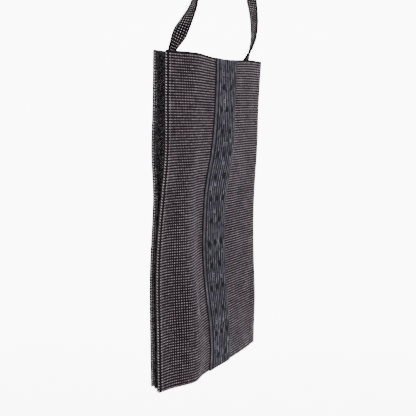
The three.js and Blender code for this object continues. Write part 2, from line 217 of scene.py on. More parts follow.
def smooth_curve(knots: Grid, places: Grid, at: Grid) -> Grid:
    """A smooth curve through points, with each tangent taken from its neighbours.

    Args:
        knots: the points, a row each.
        places: how far along each of them lies, rising.
        at: where the curve is wanted.

    Returns:
        A row for each place asked for.
    """
    tangents = np.gradient(knots, places, axis=0)
    i = np.clip(np.searchsorted(places, at, side="right") - 1, 0, len(places) - 2)
    gap = (places[i + 1] - places[i])[:, None]
    t = ((at - places[i]) / gap[:, 0])[:, None]
    return (
        (2 * t**3 - 3 * t**2 + 1) * knots[i]
        + (t**3 - 2 * t**2 + t) * gap * tangents[i]
        + (3 * t**2 - 2 * t**3) * knots[i + 1]
        + (t**3 - t**2) * gap * tangents[i + 1]
    )


def lengths(points: Grid) -> Grid:
    """How far along a line each of its points lies."""
    return np.concatenate([[0], np.cumsum(np.linalg.norm(np.diff(points, axis=0), axis=1))])


def rounded_steps(length: float, radius: float, spacing: float, rounds: int = 4) -> Grid:
    """Distances across a sheet, crowded where its two edges are rounded.

    Args:
        length: from edge to edge.
        radius: of the rounding.
        spacing: of the steps between, about.
        rounds: steps in each rounding.

    Returns:
        The rising distances, from 0 to length.
    """
    turn = radius * (1 - np.cos(np.linspace(0, math.pi / 2, rounds + 1)))
    count = max(1, round((length - 2 * radius) / spacing))
    middle = np.linspace(radius, length - radius, count + 1)
    return np.concatenate([turn[:-1], middle, length - turn[:-1][::-1]])


def rounding(value: Grid, length: float, radius: float) -> Grid:
    """How full a rounded edge is at distances across a length: 0 at its ends and 1 past the radius."""
    return np.sqrt(1 - (1 - np.clip(np.minimum(value, length - value) / radius, 0, 1)) ** 2)


# Cloth surfaces


@dataclass
class PanelSurface:
    """The outer face of a packed panel, read by rays and smoothed, which all its cloth follows.

    A place on it is a distance along from the left edge and a height from the bottom edge, both in the
    flat cloth. Inward is measured from the outer face towards the inside of the bag.
    """

    node: str
    facing: Facing
    step: float = 2 * MM
    margin: float = 2.5 * MM
    soften: float = 3 * MM
    wrinkle: float = 0.35 * MM
    waves: int = 14
    wave_lengths: tuple[float, float] = (28 * MM, 75 * MM)
    wave_lean: float = 0.5
    wave_sum: float = 3.7
    edge_fade: tuple[float, float] = (4 * MM, 22 * MM)
    band_fade: tuple[float, float] = (-2 * MM, 14 * MM)
    band_share: float = 0.35
    seed: int = 3
    depth: Grid = field(init=False)

    @property
    def side(self) -> str:
        """The panel's side in names."""
        return self.facing.name.lower()

    def __post_init__(self) -> None:
        """Reads the face."""
        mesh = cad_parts[self.node].data
        tree = BVHTree.FromPolygons([v.co for v in mesh.vertices], [p.vertices for p in mesh.polygons])
        along = np.linspace(0, BAG_WIDTH, round(BAG_WIDTH / self.step) + 1)
        height = np.linspace(0, BAG_HEIGHT, round(BAG_HEIGHT / self.step) + 1)
        s, h = np.meshgrid(along, height)
        inner_s = np.clip(s, self.margin, BAG_WIDTH - self.margin)
        inner_h = np.clip(h, self.margin, BAG_HEIGHT - self.margin)
        x, z = self.outline(inner_s, inner_h)
        way = Vector((0, -self.facing.value, 0))
        start = self.facing.value
        spots = zip(x.ravel(), z.ravel(), strict=True)
        read = [tree.ray_cast(Vector((a, start, b)), way)[0].y for a, b in spots]
        self.depth = self._softened(np.array(read).reshape(s.shape)) + self._wrinkles(s, h)

    def outline(self, along: Grid, height: Grid) -> tuple[Grid, Grid]:
        """The place in the bag's outline.

        Args:
            along: from the left edge.
            height: from the bottom edge.

        Returns:
            X and Z.
        """
        across, up = along / BAG_WIDTH, height / BAG_HEIGHT
        x = (across - 0.5) * (BAG_WIDTH - 2 * SIDE_PULL * np.sin(math.pi * up))
        from_strap = np.minimum(1, np.abs(across - 0.5) / (0.5 - STRAP_INSET / BAG_WIDTH))
        sag = MOUTH_SAG * (0.5 + 0.5 * np.cos(math.pi * from_strap)) * np.clip(up, 0, None) ** SAG_POWER
        lift = BACK_LIFT * (1 - up) ** LIFT_POWER if self.facing is Facing.BACK else 0
        return x, BOTTOM_Z + height - sag + lift

    def _softened(self, values: Grid) -> Grid:
        """Smooths the facets of the solid away.

        Args:
            values: what was read from the solid, in rows and columns.

        Returns:
            The smooth values.
        """
        sigma = self.soften / self.step
        reach = math.ceil(3 * sigma)
        kernel = np.exp(-0.5 * (np.arange(-reach, reach + 1) / sigma) ** 2)
        kernel /= kernel.sum()
        for axis in (0, 1):
            pad = [(reach, reach) if k == axis else (0, 0) for k in (0, 1)]
            wide = np.pad(values, pad, mode="reflect", reflect_type="odd")
            values = np.apply_along_axis(np.convolve, axis, wide, kernel, mode="valid")
        return values

    def _wrinkles(self, s: Grid, h: Grid) -> Grid:
        """Slight wrinkles that fade towards the edges and under the band.

        Args:
            s: places along the panel.
            h: heights above its bottom.

        Returns:
            How far the cloth moves along Y there.
        """
        random = np.random.default_rng(self.seed + self.facing.value)
        total = np.zeros_like(s)
        for _ in range(self.waves):
            wave = random.uniform(*self.wave_lengths)
            lean = random.normal(0, self.wave_lean)
            phase = random.uniform(0, 2 * math.pi)
            total += np.sin(2 * math.pi * (s * math.cos(lean) + h * math.sin(lean)) / wave + phase)
        edge = np.minimum(np.minimum(s, BAG_WIDTH - s), np.minimum(h, BAG_HEIGHT - h))
        band = np.maximum(BAND_LEFT - s, s - BAND_RIGHT)
        beside = self.band_share + (1 - self.band_share) * smoothstep(band, *self.band_fade)
        return total / self.wave_sum * self.wrinkle * smoothstep(edge, *self.edge_fade) * beside

    def face(self, along: Grid, height: Grid) -> Grid:
        """Y of the outer face at places along and up.

        Args:
            along: places along the panel.
            height: heights above its bottom.

        Returns:
            The outer face's Y there.
        """
        rows, columns = self.depth.shape
        a = np.clip(along / BAG_WIDTH, 0, 1) * (columns - 1)
        b = np.clip(height / BAG_HEIGHT, 0, 1) * (rows - 1)
        j = np.minimum(a.astype(int), columns - 2)
        i = np.minimum(b.astype(int), rows - 2)
        u, v = a - j, b - i
        low = self.depth[i, j] * (1 - u) + self.depth[i, j + 1] * u
        high = self.depth[i + 1, j] * (1 - u) + self.depth[i + 1, j + 1] * u
        return low * (1 - v) + high * v

    def wall(self, along: Grid, height: Grid) -> Grid:
        """The panel's thickness, with its folded rims and hem.

        Args:
            along: places along the panel.
            height: heights above its bottom.

        Returns:
            The thickness there.
        """
        side = np.minimum(along, BAG_WIDTH - along)
        rim = 1 - smoothstep(np.minimum(side, height), RIM_RUN, RIM_RUN + RIM_BLEND)
        hem = 1 - smoothstep(BAG_HEIGHT - height, HEM_DEPTH, HEM_DEPTH + RIM_BLEND)
        return CLOTH_WALL + np.maximum(rim * (RIM_WALL - CLOTH_WALL), hem * (HEM_WALL - CLOTH_WALL))

    def place(self, along: Grid, height: Grid, inward: Grid | float) -> Grid:
        """Points of the cloth.

        Args:
            along: from the left edge.
            height: from the bottom edge.
            inward: from the outer face.

        Returns:
            A point for each place.
        """
        along, height = np.broadcast_arrays(np.asarray(along, float), np.asarray(height, float))
        x, z = self.outline(along, height)
        return np.stack([x, self.face(along, height) - self.facing.value * inward, z], -1)

    def inner(self, along: Grid, height: Grid, clearance: Grid | float = 0.0) -> Grid:
        """Points that lie a clearance off the inner face."""
        along, height = np.broadcast_arrays(np.asarray(along, float), np.asarray(height, float))
        return self.place(along, height, self.wall(along, height) + clearance)

    def frame_at(self, along: Grid, height: Grid) -> tuple[Grid, Grid]:
        """The outward normal and the direction along the cloth.

        Args:
            along: from the left edge.
            height: from the bottom edge.

        Returns:
            Two unit vectors for each place.
        """
        near = 1.5 * MM
        across = self.place(along + near, height, 0) - self.place(along - near, height, 0)
        upward = self.place(along, height + near, 0) - self.place(along, height - near, 0)
        across /= np.linalg.norm(across, axis=-1, keepdims=True)
        out = np.cross(across, upward) * -self.facing.value
        return out / np.linalg.norm(out, axis=-1, keepdims=True), across


# Geometry Nodes


class Tree:
    """A Geometry Nodes tree that is written node by node."""

    def __init__(self, name: str, inputs: Sequence[tuple[str, str]]) -> None:
        """Starts the tree.

        Args:
            name: the tree's name.
            inputs: the name and socket type of each input after the geometry.
        """
        self.group = bpy.data.node_groups.new(name, "GeometryNodeTree")
        self.group.interface.new_socket("Geometry", in_out="INPUT", socket_type="NodeSocketGeometry")
        self.group.interface.new_socket("Geometry", in_out="OUTPUT", socket_type="NodeSocketGeometry")
        self.keys = {
            label: self.group.interface.new_socket(label, in_out="INPUT", socket_type=kind).identifier
            for label, kind in inputs
        }
        self.start = self.group.nodes.new("NodeGroupInput")

    def given(self, label: str) -> bpy.types.NodeSocket:
        """One of the tree's inputs."""
        return self.start.outputs[label]

    def named(self, label: str, kind: str) -> bpy.types.NodeSocket:
        """An attribute that the points carry."""
        return self.node("GeometryNodeInputNamedAttribute", {"Name": label}, data_type=kind).outputs[0]

    def node(self, kind: str, sockets: dict[str, object], **settings: object) -> bpy.types.Node:
        """Adds a node.

        Args:
            kind: its type.
            sockets: a value or a link for each named socket.
            settings: its own settings, set first.

        Returns:
            The node.
        """
        made = self.group.nodes.new(kind)
        for key, value in settings.items():
            setattr(made, key, value)
        open_sockets = {s.name: s for s in reversed(made.inputs) if s.enabled}
        for key, value in sockets.items():
            if isinstance(value, bpy.types.NodeSocket):
                self.group.links.new(value, open_sockets[key])
            else:
                open_sockets[key].default_value = value
        return made

    def finish(self, geometry: bpy.types.NodeSocket) -> None:
        """Ends the tree in real, smooth geometry with the material given.

        Args:
            geometry: the socket with all that the tree has made.
        """
        real = self.node("GeometryNodeRealizeInstances", {"Geometry": geometry}).outputs[0]
        smooth = self.node("GeometryNodeSetShadeSmooth", {"Geometry": real}).outputs[0]
        sockets = {"Geometry": smooth, "Material": self.given("Material")}
        painted = self.node("GeometryNodeSetMaterial", sockets)
        self.group.links.new(painted.outputs[0], self.group.nodes.new("NodeGroupOutput").inputs[0])

    def run(self, name: str, source: Piece, values: dict[str, object]) -> Piece:
        """Applies the tree.

        Args:
            name: of the new object.
            source: the object that carries the points or lines, which is used up.
            values: a value for each named input.

        Returns:
            A plain mesh object.
        """
        modifier = source.modifiers.new("nodes", "NODES")
        modifier.node_group = self.group
        for label, value in values.items():
            modifier[self.keys[label]] = value
        evaluated = source.evaluated_get(bpy.context.evaluated_depsgraph_get())
        mesh = bpy.data.meshes.new_from_object(evaluated)
        mesh.name = name
        source.modifiers.remove(modifier)
        drop(source)
        return link(bpy.data.objects.new(name, mesh))


class FloatTree(Tree):
    """Lays small pillows of thread on points that know which way they face and run."""

    tone_seed: int = 7

    def __init__(self) -> None:
        """Builds the tree."""
        super().__init__(
            "thread_floats",
            [
                ("Float Size", "NodeSocketVector"),
                ("Spread", "NodeSocketFloat"),
                ("Seed", "NodeSocketInt"),
                ("Material", "NodeSocketMaterial"),
            ],
        )
        axes = {
            "Primary Axis": self.named("facing", "FLOAT_VECTOR"),
            "Secondary Axis": self.named("running", "FLOAT_VECTOR"),
        }
        turn = self.node("FunctionNodeAxesToRotation", axes, primary_axis="Z", secondary_axis="X")
        pillow = self.node("GeometryNodeMeshCube", {"Size": self.given("Float Size")})
        least = self.node("ShaderNodeMath", {"Value": 1.0}, operation="SUBTRACT")
        self.group.links.new(self.given("Spread"), least.inputs[1])
        sockets = {"Min": least.outputs[0], "Max": 1.0, "Seed": self.given("Seed")}
        scale = self.node("FunctionNodeRandomValue", sockets, data_type="FLOAT")
        placed = self.node(
            "GeometryNodeInstanceOnPoints",
            {
                "Points": self.given("Geometry"),
                "Instance": pillow.outputs[0],
                "Rotation": turn.outputs[0],
                "Scale": scale.outputs[1],
            },
        )
        other_seed = self.node("ShaderNodeMath", {"Value": self.given("Seed")}, operation="ADD")
        other_seed.inputs[1].default_value = self.tone_seed
        sockets = {"Min": 0.0, "Max": 1.0, "Seed": other_seed.outputs[0]}
        tone = self.node("FunctionNodeRandomValue", sockets, data_type="FLOAT")
        toned = self.node(
            "GeometryNodeStoreNamedAttribute",
            {"Geometry": placed.outputs[0], "Name": "tone", "Value": tone.outputs[1]},
            data_type="FLOAT",
            domain="INSTANCE",
        )
        self.finish(toned.outputs[0])


class CordTree(Tree):
    """Sweeps a round cord along lines whose points know its radius."""

    def __init__(self) -> None:
        """Builds the tree."""
        super().__init__("woven_cords", [("Sides", "NodeSocketInt"), ("Material", "NodeSocketMaterial")])
        line = self.node("GeometryNodeMeshToCurve", {"Mesh": self.given("Geometry")})
        sockets = {"Resolution": self.given("Sides"), "Radius": 1.0}
        ring = self.node("GeometryNodeCurvePrimitiveCircle", sockets)
        swept = self.node(
            "GeometryNodeCurveToMesh",
            {
                "Curve": line.outputs[0],
                "Profile Curve": ring.outputs[0],
                "Scale": self.named("radius", "FLOAT"),
                "Fill Caps": True,
            },
        )
        self.finish(swept.outputs[0])


@dataclass
class Points:
    """Places for floats, with the way each faces and runs."""

    places: list[Grid] = field(default_factory=list)
    facings: list[Grid] = field(default_factory=list)
    runs: list[Grid] = field(default_factory=list)

    def add(self, places: Grid, facing: Grid, run: Grid) -> None:
        """Adds points.

        Args:
            places: a point a row.
            facing: the outward direction of each, or one for all.
            run: the direction of each one's length, or one for all.
        """
        self.places.append(places.reshape(-1, 3))
        self.facings.append(np.broadcast_to(facing, places.shape).reshape(-1, 3))
        self.runs.append(np.broadcast_to(run, places.shape).reshape(-1, 3))

    def carrier(self, name: str) -> Piece:
        """A mesh of loose points for the tree to work on.

        Args:
            name: the name of the piece that the points are for.

        Returns:
            The mesh's object.
        """
        obj = mesh_object(name + "_points", np.concatenate(self.places), [])
        for label, values in (("facing", self.facings), ("running", self.runs)):
            layer = obj.data.attributes.new(label, "FLOAT_VECTOR", "POINT")
            layer.data.foreach_set("vector", np.concatenate(values).astype(np.float32).ravel())
        return obj


def stitch_lines(surface: PanelSurface, places: Sequence[float], heights: Grid, rise: float) -> Points:
    """Points for upright lines of stitches on a panel's outer face.

    Args:
        surface: the panel's face.
        places: how far along it each line lies.
        heights: where the stitches of a line lie.
        rise: how far they stand off the face.

    Returns:
        The points.
    """
    points = Points()
    for along in places:
        s = np.full(heights.shape, along)
        facing, _ = surface.frame_at(s, heights)
        points.add(surface.place(s, heights, -rise), facing, np.array((0.0, 0.0, 1.0)))
    return points


# Materials


class Value:
    """A number in a shader, on which arithmetic adds Math nodes."""

    def __init__(self, shader: "Shader", socket: bpy.types.NodeSocket) -> None:
        """Wraps a socket."""
        self.shader = shader
        self.socket = socket

    def _with(self, operation: str, *others: object, first: object = None) -> "Value":
        """The result of a Math node on this value, with first put before it where one is given.

        Args:
            operation: the node's operation.
            others: the terms after this value.
            first: a term before this value, in place of the others.

        Returns:
            The node's result.
        """
        terms = [self, *others] if first is None else [first, self]
        made = self.shader.node("ShaderNodeMath", {}, operation=operation)
        for place, term in enumerate(terms):
            self.shader.feed(made.inputs[place], term)
        return Value(self.shader, made.outputs[0])

    def __add__(self, other: object) -> "Value":
        """This plus the other."""
        return self._with("ADD", other)

    def __radd__(self, other: object) -> "Value":
        """The other plus this."""
        return self._with("ADD", first=other)

    def __sub__(self, other: object) -> "Value":
        """This minus the other."""
        return self._with("SUBTRACT", other)

    def __rsub__(self, other: object) -> "Value":
        """The other minus this."""
        return self._with("SUBTRACT", first=other)

    def __mul__(self, other: object) -> "Value":
        """This times the other."""
        return self._with("MULTIPLY", other)

    def __rmul__(self, other: object) -> "Value":
        """The other times this."""
        return self._with("MULTIPLY", first=other)

    def __truediv__(self, other: object) -> "Value":
        """This over the other."""
        return self._with("DIVIDE", other)

    def __rtruediv__(self, other: object) -> "Value":
        """The other over this."""
        return self._with("DIVIDE", first=other)

    def wave(self, pitch: float, offset: float = 0.0) -> "Value":
        """A smooth wave from 0 to 1 that repeats every pitch."""
        return (self * (2 * math.pi / pitch) + offset)._with("SINE") * 0.5 + 0.5

    def beyond(self, start: float, end: float) -> "Value":
        """0 before start and 1 past end.

        Args:
            start: the value up to which the result is 0.
            end: the value from which it is 1.

        Returns:
            The share between them, with smooth ends.
        """
        made = self.shader.node(
            "ShaderNodeMapRange", {"From Min": start, "From Max": end}, interpolation_type="SMOOTHSTEP"
        )
        self.shader.feed(made.inputs["Value"], self)
        return Value(self.shader, made.outputs[0])


class Shader:
    """A material's nodes around one principled shader."""

    def __init__(self, name: str) -> None:
        """Starts an empty material.

        Args:
            name: the material's name.
        """
        self.material = bpy.data.materials.new(name)
        self.material.use_nodes = True
        self.tree = self.material.node_tree
        self.tree.nodes.clear()
        self.surface = self.node("ShaderNodeBsdfPrincipled", {})
        output = self.node("ShaderNodeOutputMaterial", {})
        self.tree.links.new(self.surface.outputs[0], output.inputs["Surface"])

    def feed(self, socket: bpy.types.NodeSocket, value: object) -> None:
        """Links or sets a socket.

        Args:
            socket: a node's input.
            value: a value, a link, a colour or a number for it.
        """
        if isinstance(value, Value):
            value = value.socket
        if isinstance(value, bpy.types.NodeSocket):
            self.tree.links.new(value, socket)
        elif isinstance(value, tuple) and len(value) == 3 and socket.type == "RGBA":
            socket.default_value = (*value, 1.0)
        else:
            socket.default_value = value

    def node(self, kind: str, sockets: dict[str, object], **settings: object) -> bpy.types.Node:
        """Adds a node.

        Args:
            kind: its type.
            sockets: a value or a link for each named socket.
            settings: its own settings, set first.

        Returns:
            The node.
        """
        made = self.tree.nodes.new(kind)
        for key, value in settings.items():
            setattr(made, key, value)
        for key, value in sockets.items():
            self.feed(next(s for s in made.inputs if s.name == key and s.enabled), value)
        return made

    def weave(self) -> tuple[Value, Value]:
        """The two coordinates of the flat cloth."""
        place = self.node("ShaderNodeUVMap", {}, uv_map="weave")
        parts = self.node("ShaderNodeSeparateXYZ", {"Vector": place.outputs[0]})
        return Value(self, parts.outputs[0]), Value(self, parts.outputs[1])

    def attribute(self, name: str) -> Value:
        """A number kept on the mesh."""
        made = self.node("ShaderNodeAttribute", {}, attribute_name=name)
        return Value(self, made.outputs["Fac"])

    def noise(self, size: float, detail: float = 2.0) -> Value:
        """Noise about 0.5 in the object's own space, with grains of a size in metres and finer layers.

        Args:
            size: how large the grains are, in metres.
            detail: how many finer layers it has.

        Returns:
            The noise.
        """
        place = self.node("ShaderNodeTexCoord", {}).outputs["Object"]
        made = self.node("ShaderNodeTexNoise", {"Vector": place, "Scale": 1 / size, "Detail": detail})
        return Value(self, made.outputs["Fac"])

    def mix(self, share: Value, low: object, high: object) -> bpy.types.NodeSocket:
        """A colour between two, by a share.

        Args:
            share: 0 for the first colour and 1 for the second.
            low: the first colour.
            high: the second colour.

        Returns:
            The mixed colour.
        """
        made = self.node("ShaderNodeMix", {}, data_type="RGBA")
        for name, value in (("Factor", share), ("A", low), ("B", high)):
            self.feed(next(s for s in made.inputs if s.name == name and s.enabled), value)
        return next(s for s in made.outputs if s.enabled)

    def bump(self, height: Value, depth: float, strength: float = 1.0) -> None:
        """Makes the surface follow a height, in shares of a depth in metres.

        Args:
            height: the height, in shares of the depth.
            depth: how deep the relief is, in metres.
            strength: how strongly it shows.
        """
        made = self.node("ShaderNodeBump", {"Strength": strength, "Distance": depth})
        self.feed(made.inputs["Height"], height)
        self.tree.links.new(made.outputs[0], self.surface.inputs["Normal"])

    def set(self, **sockets: object) -> None:
        """Sets the principled shader's sockets, named with underscores for spaces."""
        for name, value in sockets.items():
            self.feed(self.surface.inputs[name.replace("_", " ")], value)


@dataclass(frozen=True)
class ClothGround:
    """The dark ground of the dotted cloth: fine warp threads, with the floats drawn in where none lie."""

    name: str
    ground: Colour = (0.006, 0.0045, 0.0055)
    warp: Colour = (0.022, 0.013, 0.016)
    floats: Colour = (0.25, 0.21, 0.235)
    thread: float = 0.75 * MM
    grain: float = 1.2 * MM
    grain_edge: tuple[float, float] = (0.3, 0.7)
    column_edge: tuple[float, float] = (0.12, 0.5)
    row_edge: tuple[float, float] = (0.35, 0.65)
    wear: float = 9 * MM
    rough: float = 0.8
    specular: float = 0.05
    relief: float = 0.12 * MM

    def build(self) -> Finish:
        """Makes the material."""
        shader = Shader(self.name)
        u, v = shader.weave()
        warp = u.wave(self.thread) * shader.noise(self.grain, 1.0).beyond(*self.grain_edge)
        in_column = u.wave(COLUMN_PITCH, math.pi / 2).beyond(*self.column_edge)
        in_row = v.wave(ROW_PITCH, math.pi / 2).beyond(*self.row_edge)
        bare = in_column * in_row * shader.attribute("bare")
        worn = shader.noise(self.wear, 3.0)
        dark = shader.mix(warp * 0.8 + worn * 0.2, self.ground, self.warp)
        colour = shader.mix(bare, dark, self.floats)
        shader.set(Base_Color=colour, Roughness=self.rough + worn * 0.15, Specular_IOR_Level=self.specular)
        shader.bump(u.wave(self.thread) * 0.6 + v.wave(self.thread) * 0.4 + bare, self.relief, 0.6)
        return shader.material


@dataclass(frozen=True)
class Yarn:
    """Thread that stands up from the cloth, a little different from float to float."""

    name: str
    dark: Colour
    light: Colour
    sheen: float = 0.04
    sheen_rough: float = 0.5
    rough: float = 0.62
    specular: float = 0.15
    grain: float = 0.5 * MM
    patch: float = 35 * MM
    relief: float = 0.06 * MM

    def build(self) -> Finish:
        """Makes the material."""
        shader = Shader(self.name)
        fibre = shader.noise(self.grain, 2.0)
        patch = shader.noise(self.patch, 2.0)
        share = (shader.attribute("tone") * 0.5 + fibre * 0.45 + patch * 0.5 - 0.2).beyond(0.0, 1.0)
        colour = shader.mix(share, self.dark, self.light)
        shader.set(Base_Color=colour, Roughness=self.rough + fibre * 0.2, Specular_IOR_Level=self.specular)
        shader.set(Sheen_Weight=self.sheen, Sheen_Roughness=self.sheen_rough)
        shader.bump(fibre, self.relief, 0.5)
        return shader.material


@dataclass(frozen=True)
class PlainWeave:
    """Fine plain-woven cloth with a faint paler fleck."""

    name: str
    ground: Colour
    fleck: Colour
    thread: float = 0.9 * MM
    thread_edge: tuple[float, float] = (0.45, 0.95)
    grain: float = 1.6 * MM
    grain_edge: tuple[float, float] = (0.4, 0.75)
    rough: float = 0.8
    specular: float = 0.05
    relief: float = 0.12 * MM

    def build(self) -> Finish:
        """Makes the material."""
        shader = Shader(self.name)
        u, v = shader.weave()
        cross = u.wave(self.thread) * v.wave(self.thread, math.pi / 2)
        cross = cross + u.wave(self.thread, math.pi) * v.wave(self.thread, -math.pi / 2)
        fleck = cross.beyond(*self.thread_edge) * shader.noise(self.grain, 2.0).beyond(*self.grain_edge)
        colour = shader.mix(fleck, self.ground, self.fleck)
        shader.set(Base_Color=colour, Roughness=self.rough + fleck * 0.1, Specular_IOR_Level=self.specular)
        shader.bump(cross, self.relief, 0.8)
        return shader.material


@dataclass(frozen=True)
class Paper:
    """The plain pale surface around the bag, with a painted glow that is brightest where the camera's view
    ends on it.
    """

    eye: Extent
    toward: Extent
    name: str = "studio_paper"
    colours: tuple[Colour, Colour] = ((0.9, 0.9, 0.9), (0.92, 0.92, 0.92))
    glow_cone: tuple[float, float] = (0.958, 0.968)
    glow: float = 8
    faint_glow: Colour = (0.05, 0.05, 0.05)
    grain: float = 0.4
    rough: float = 0.9

    def build(self) -> Finish:
        """Makes the material."""
        shader = Shader(self.name)
        grain = shader.noise(self.grain, 2.0)
        place = shader.node("ShaderNodeTexCoord", {}).outputs["Object"]
        apart = shader.node("ShaderNodeVectorMath", {"Vector": place}, operation="SUBTRACT")
        apart.inputs[1].default_value = self.eye
        way = shader.node("ShaderNodeVectorMath", {"Vector": apart.outputs[0]}, operation="NORMALIZE")
        match = shader.node("ShaderNodeVectorMath", {"Vector": way.outputs[0]}, operation="DOT_PRODUCT")
        match.inputs[1].default_value = self.toward
        share = Value(shader, match.outputs["Value"]).beyond(*self.glow_cone)
        shader.set(Base_Color=shader.mix(grain, *self.colours), Roughness=self.rough)
        # Painted glow: the paper emits white in a cone around the camera's view, and a faint glow
        # elsewhere.
        shader.set(Emission_Color=shader.mix(share, self.faint_glow, (1.0, 1.0, 1.0)), Emission_Strength=self.glow)
        return shader.material


DOT_YARN = Yarn("dot_yarn", (0.17, 0.138, 0.158), (0.52, 0.445, 0.495))
# A lit copy of the dot yarn: its paler colours are painted highlight, for floats that face the key light.
PAINTED_HIGHLIGHT_DOT_YARN = Yarn("rim_dot_yarn", (0.37, 0.31, 0.33), (0.8, 0.73, 0.745))
STRAP_DOT_YARN = Yarn("strap_dot_yarn", (0.32, 0.28, 0.295), (0.8, 0.74, 0.76))
CORD_YARN = Yarn("cord_yarn", (0.044, 0.041, 0.056), (0.27, 0.255, 0.32), grain=0.9 * MM)
BAND_GROUND = PlainWeave("band_ground", (0.005, 0.005, 0.0075), (0.03, 0.03, 0.042))
BLACK_WEAVE = PlainWeave("black_weave", (0.018, 0.0175, 0.019), (0.5, 0.475, 0.5), thread=2.2 * MM)
GREY_THREAD = Yarn("grey_thread", (0.09, 0.085, 0.095), (0.2, 0.19, 0.2))
DARK_THREAD = Yarn("dark_thread", (0.01, 0.01, 0.012), (0.03, 0.03, 0.036))


# Pieces


@dataclass
class Workshop:
    """The trees and finishes that the pieces share."""

    floats: FloatTree = field(default_factory=FloatTree)
    cords: CordTree = field(default_factory=CordTree)
    cloth: Finish = field(default_factory=ClothGround("dotted_ground").build)
    dots: Finish = field(default_factory=DOT_YARN.build)
    painted_highlight_dots: Finish = field(default_factory=PAINTED_HIGHLIGHT_DOT_YARN.build)
    strap_dots: Finish = field(default_factory=STRAP_DOT_YARN.build)
    cord: Finish = field(default_factory=CORD_YARN.build)
    under: Finish = field(default_factory=BAND_GROUND.build)
    black: Finish = field(default_factory=BLACK_WEAVE.build)
    thread: Finish = field(default_factory=GREY_THREAD.build)
    dark_thread: Finish = field(default_factory=DARK_THREAD.build)

    def lay(
        self, name: str, points: Points, size: Extent, material: Finish, spread: float = 0.12, seed: int = 1
    ) -> Piece:
        """Lays floats on points.

        Args:
            name: of the piece.
            points: where they lie.
            size: of one float: its run, its width and its thickness.
            material: its finish.
            spread: how much smaller some are.
            seed: of what is random.

        Returns:
            The piece.
        """
        values = {"Float Size": size, "Spread": spread, "Seed": seed, "Material": material}
        return self.floats.run(name, points.carrier(name), values)


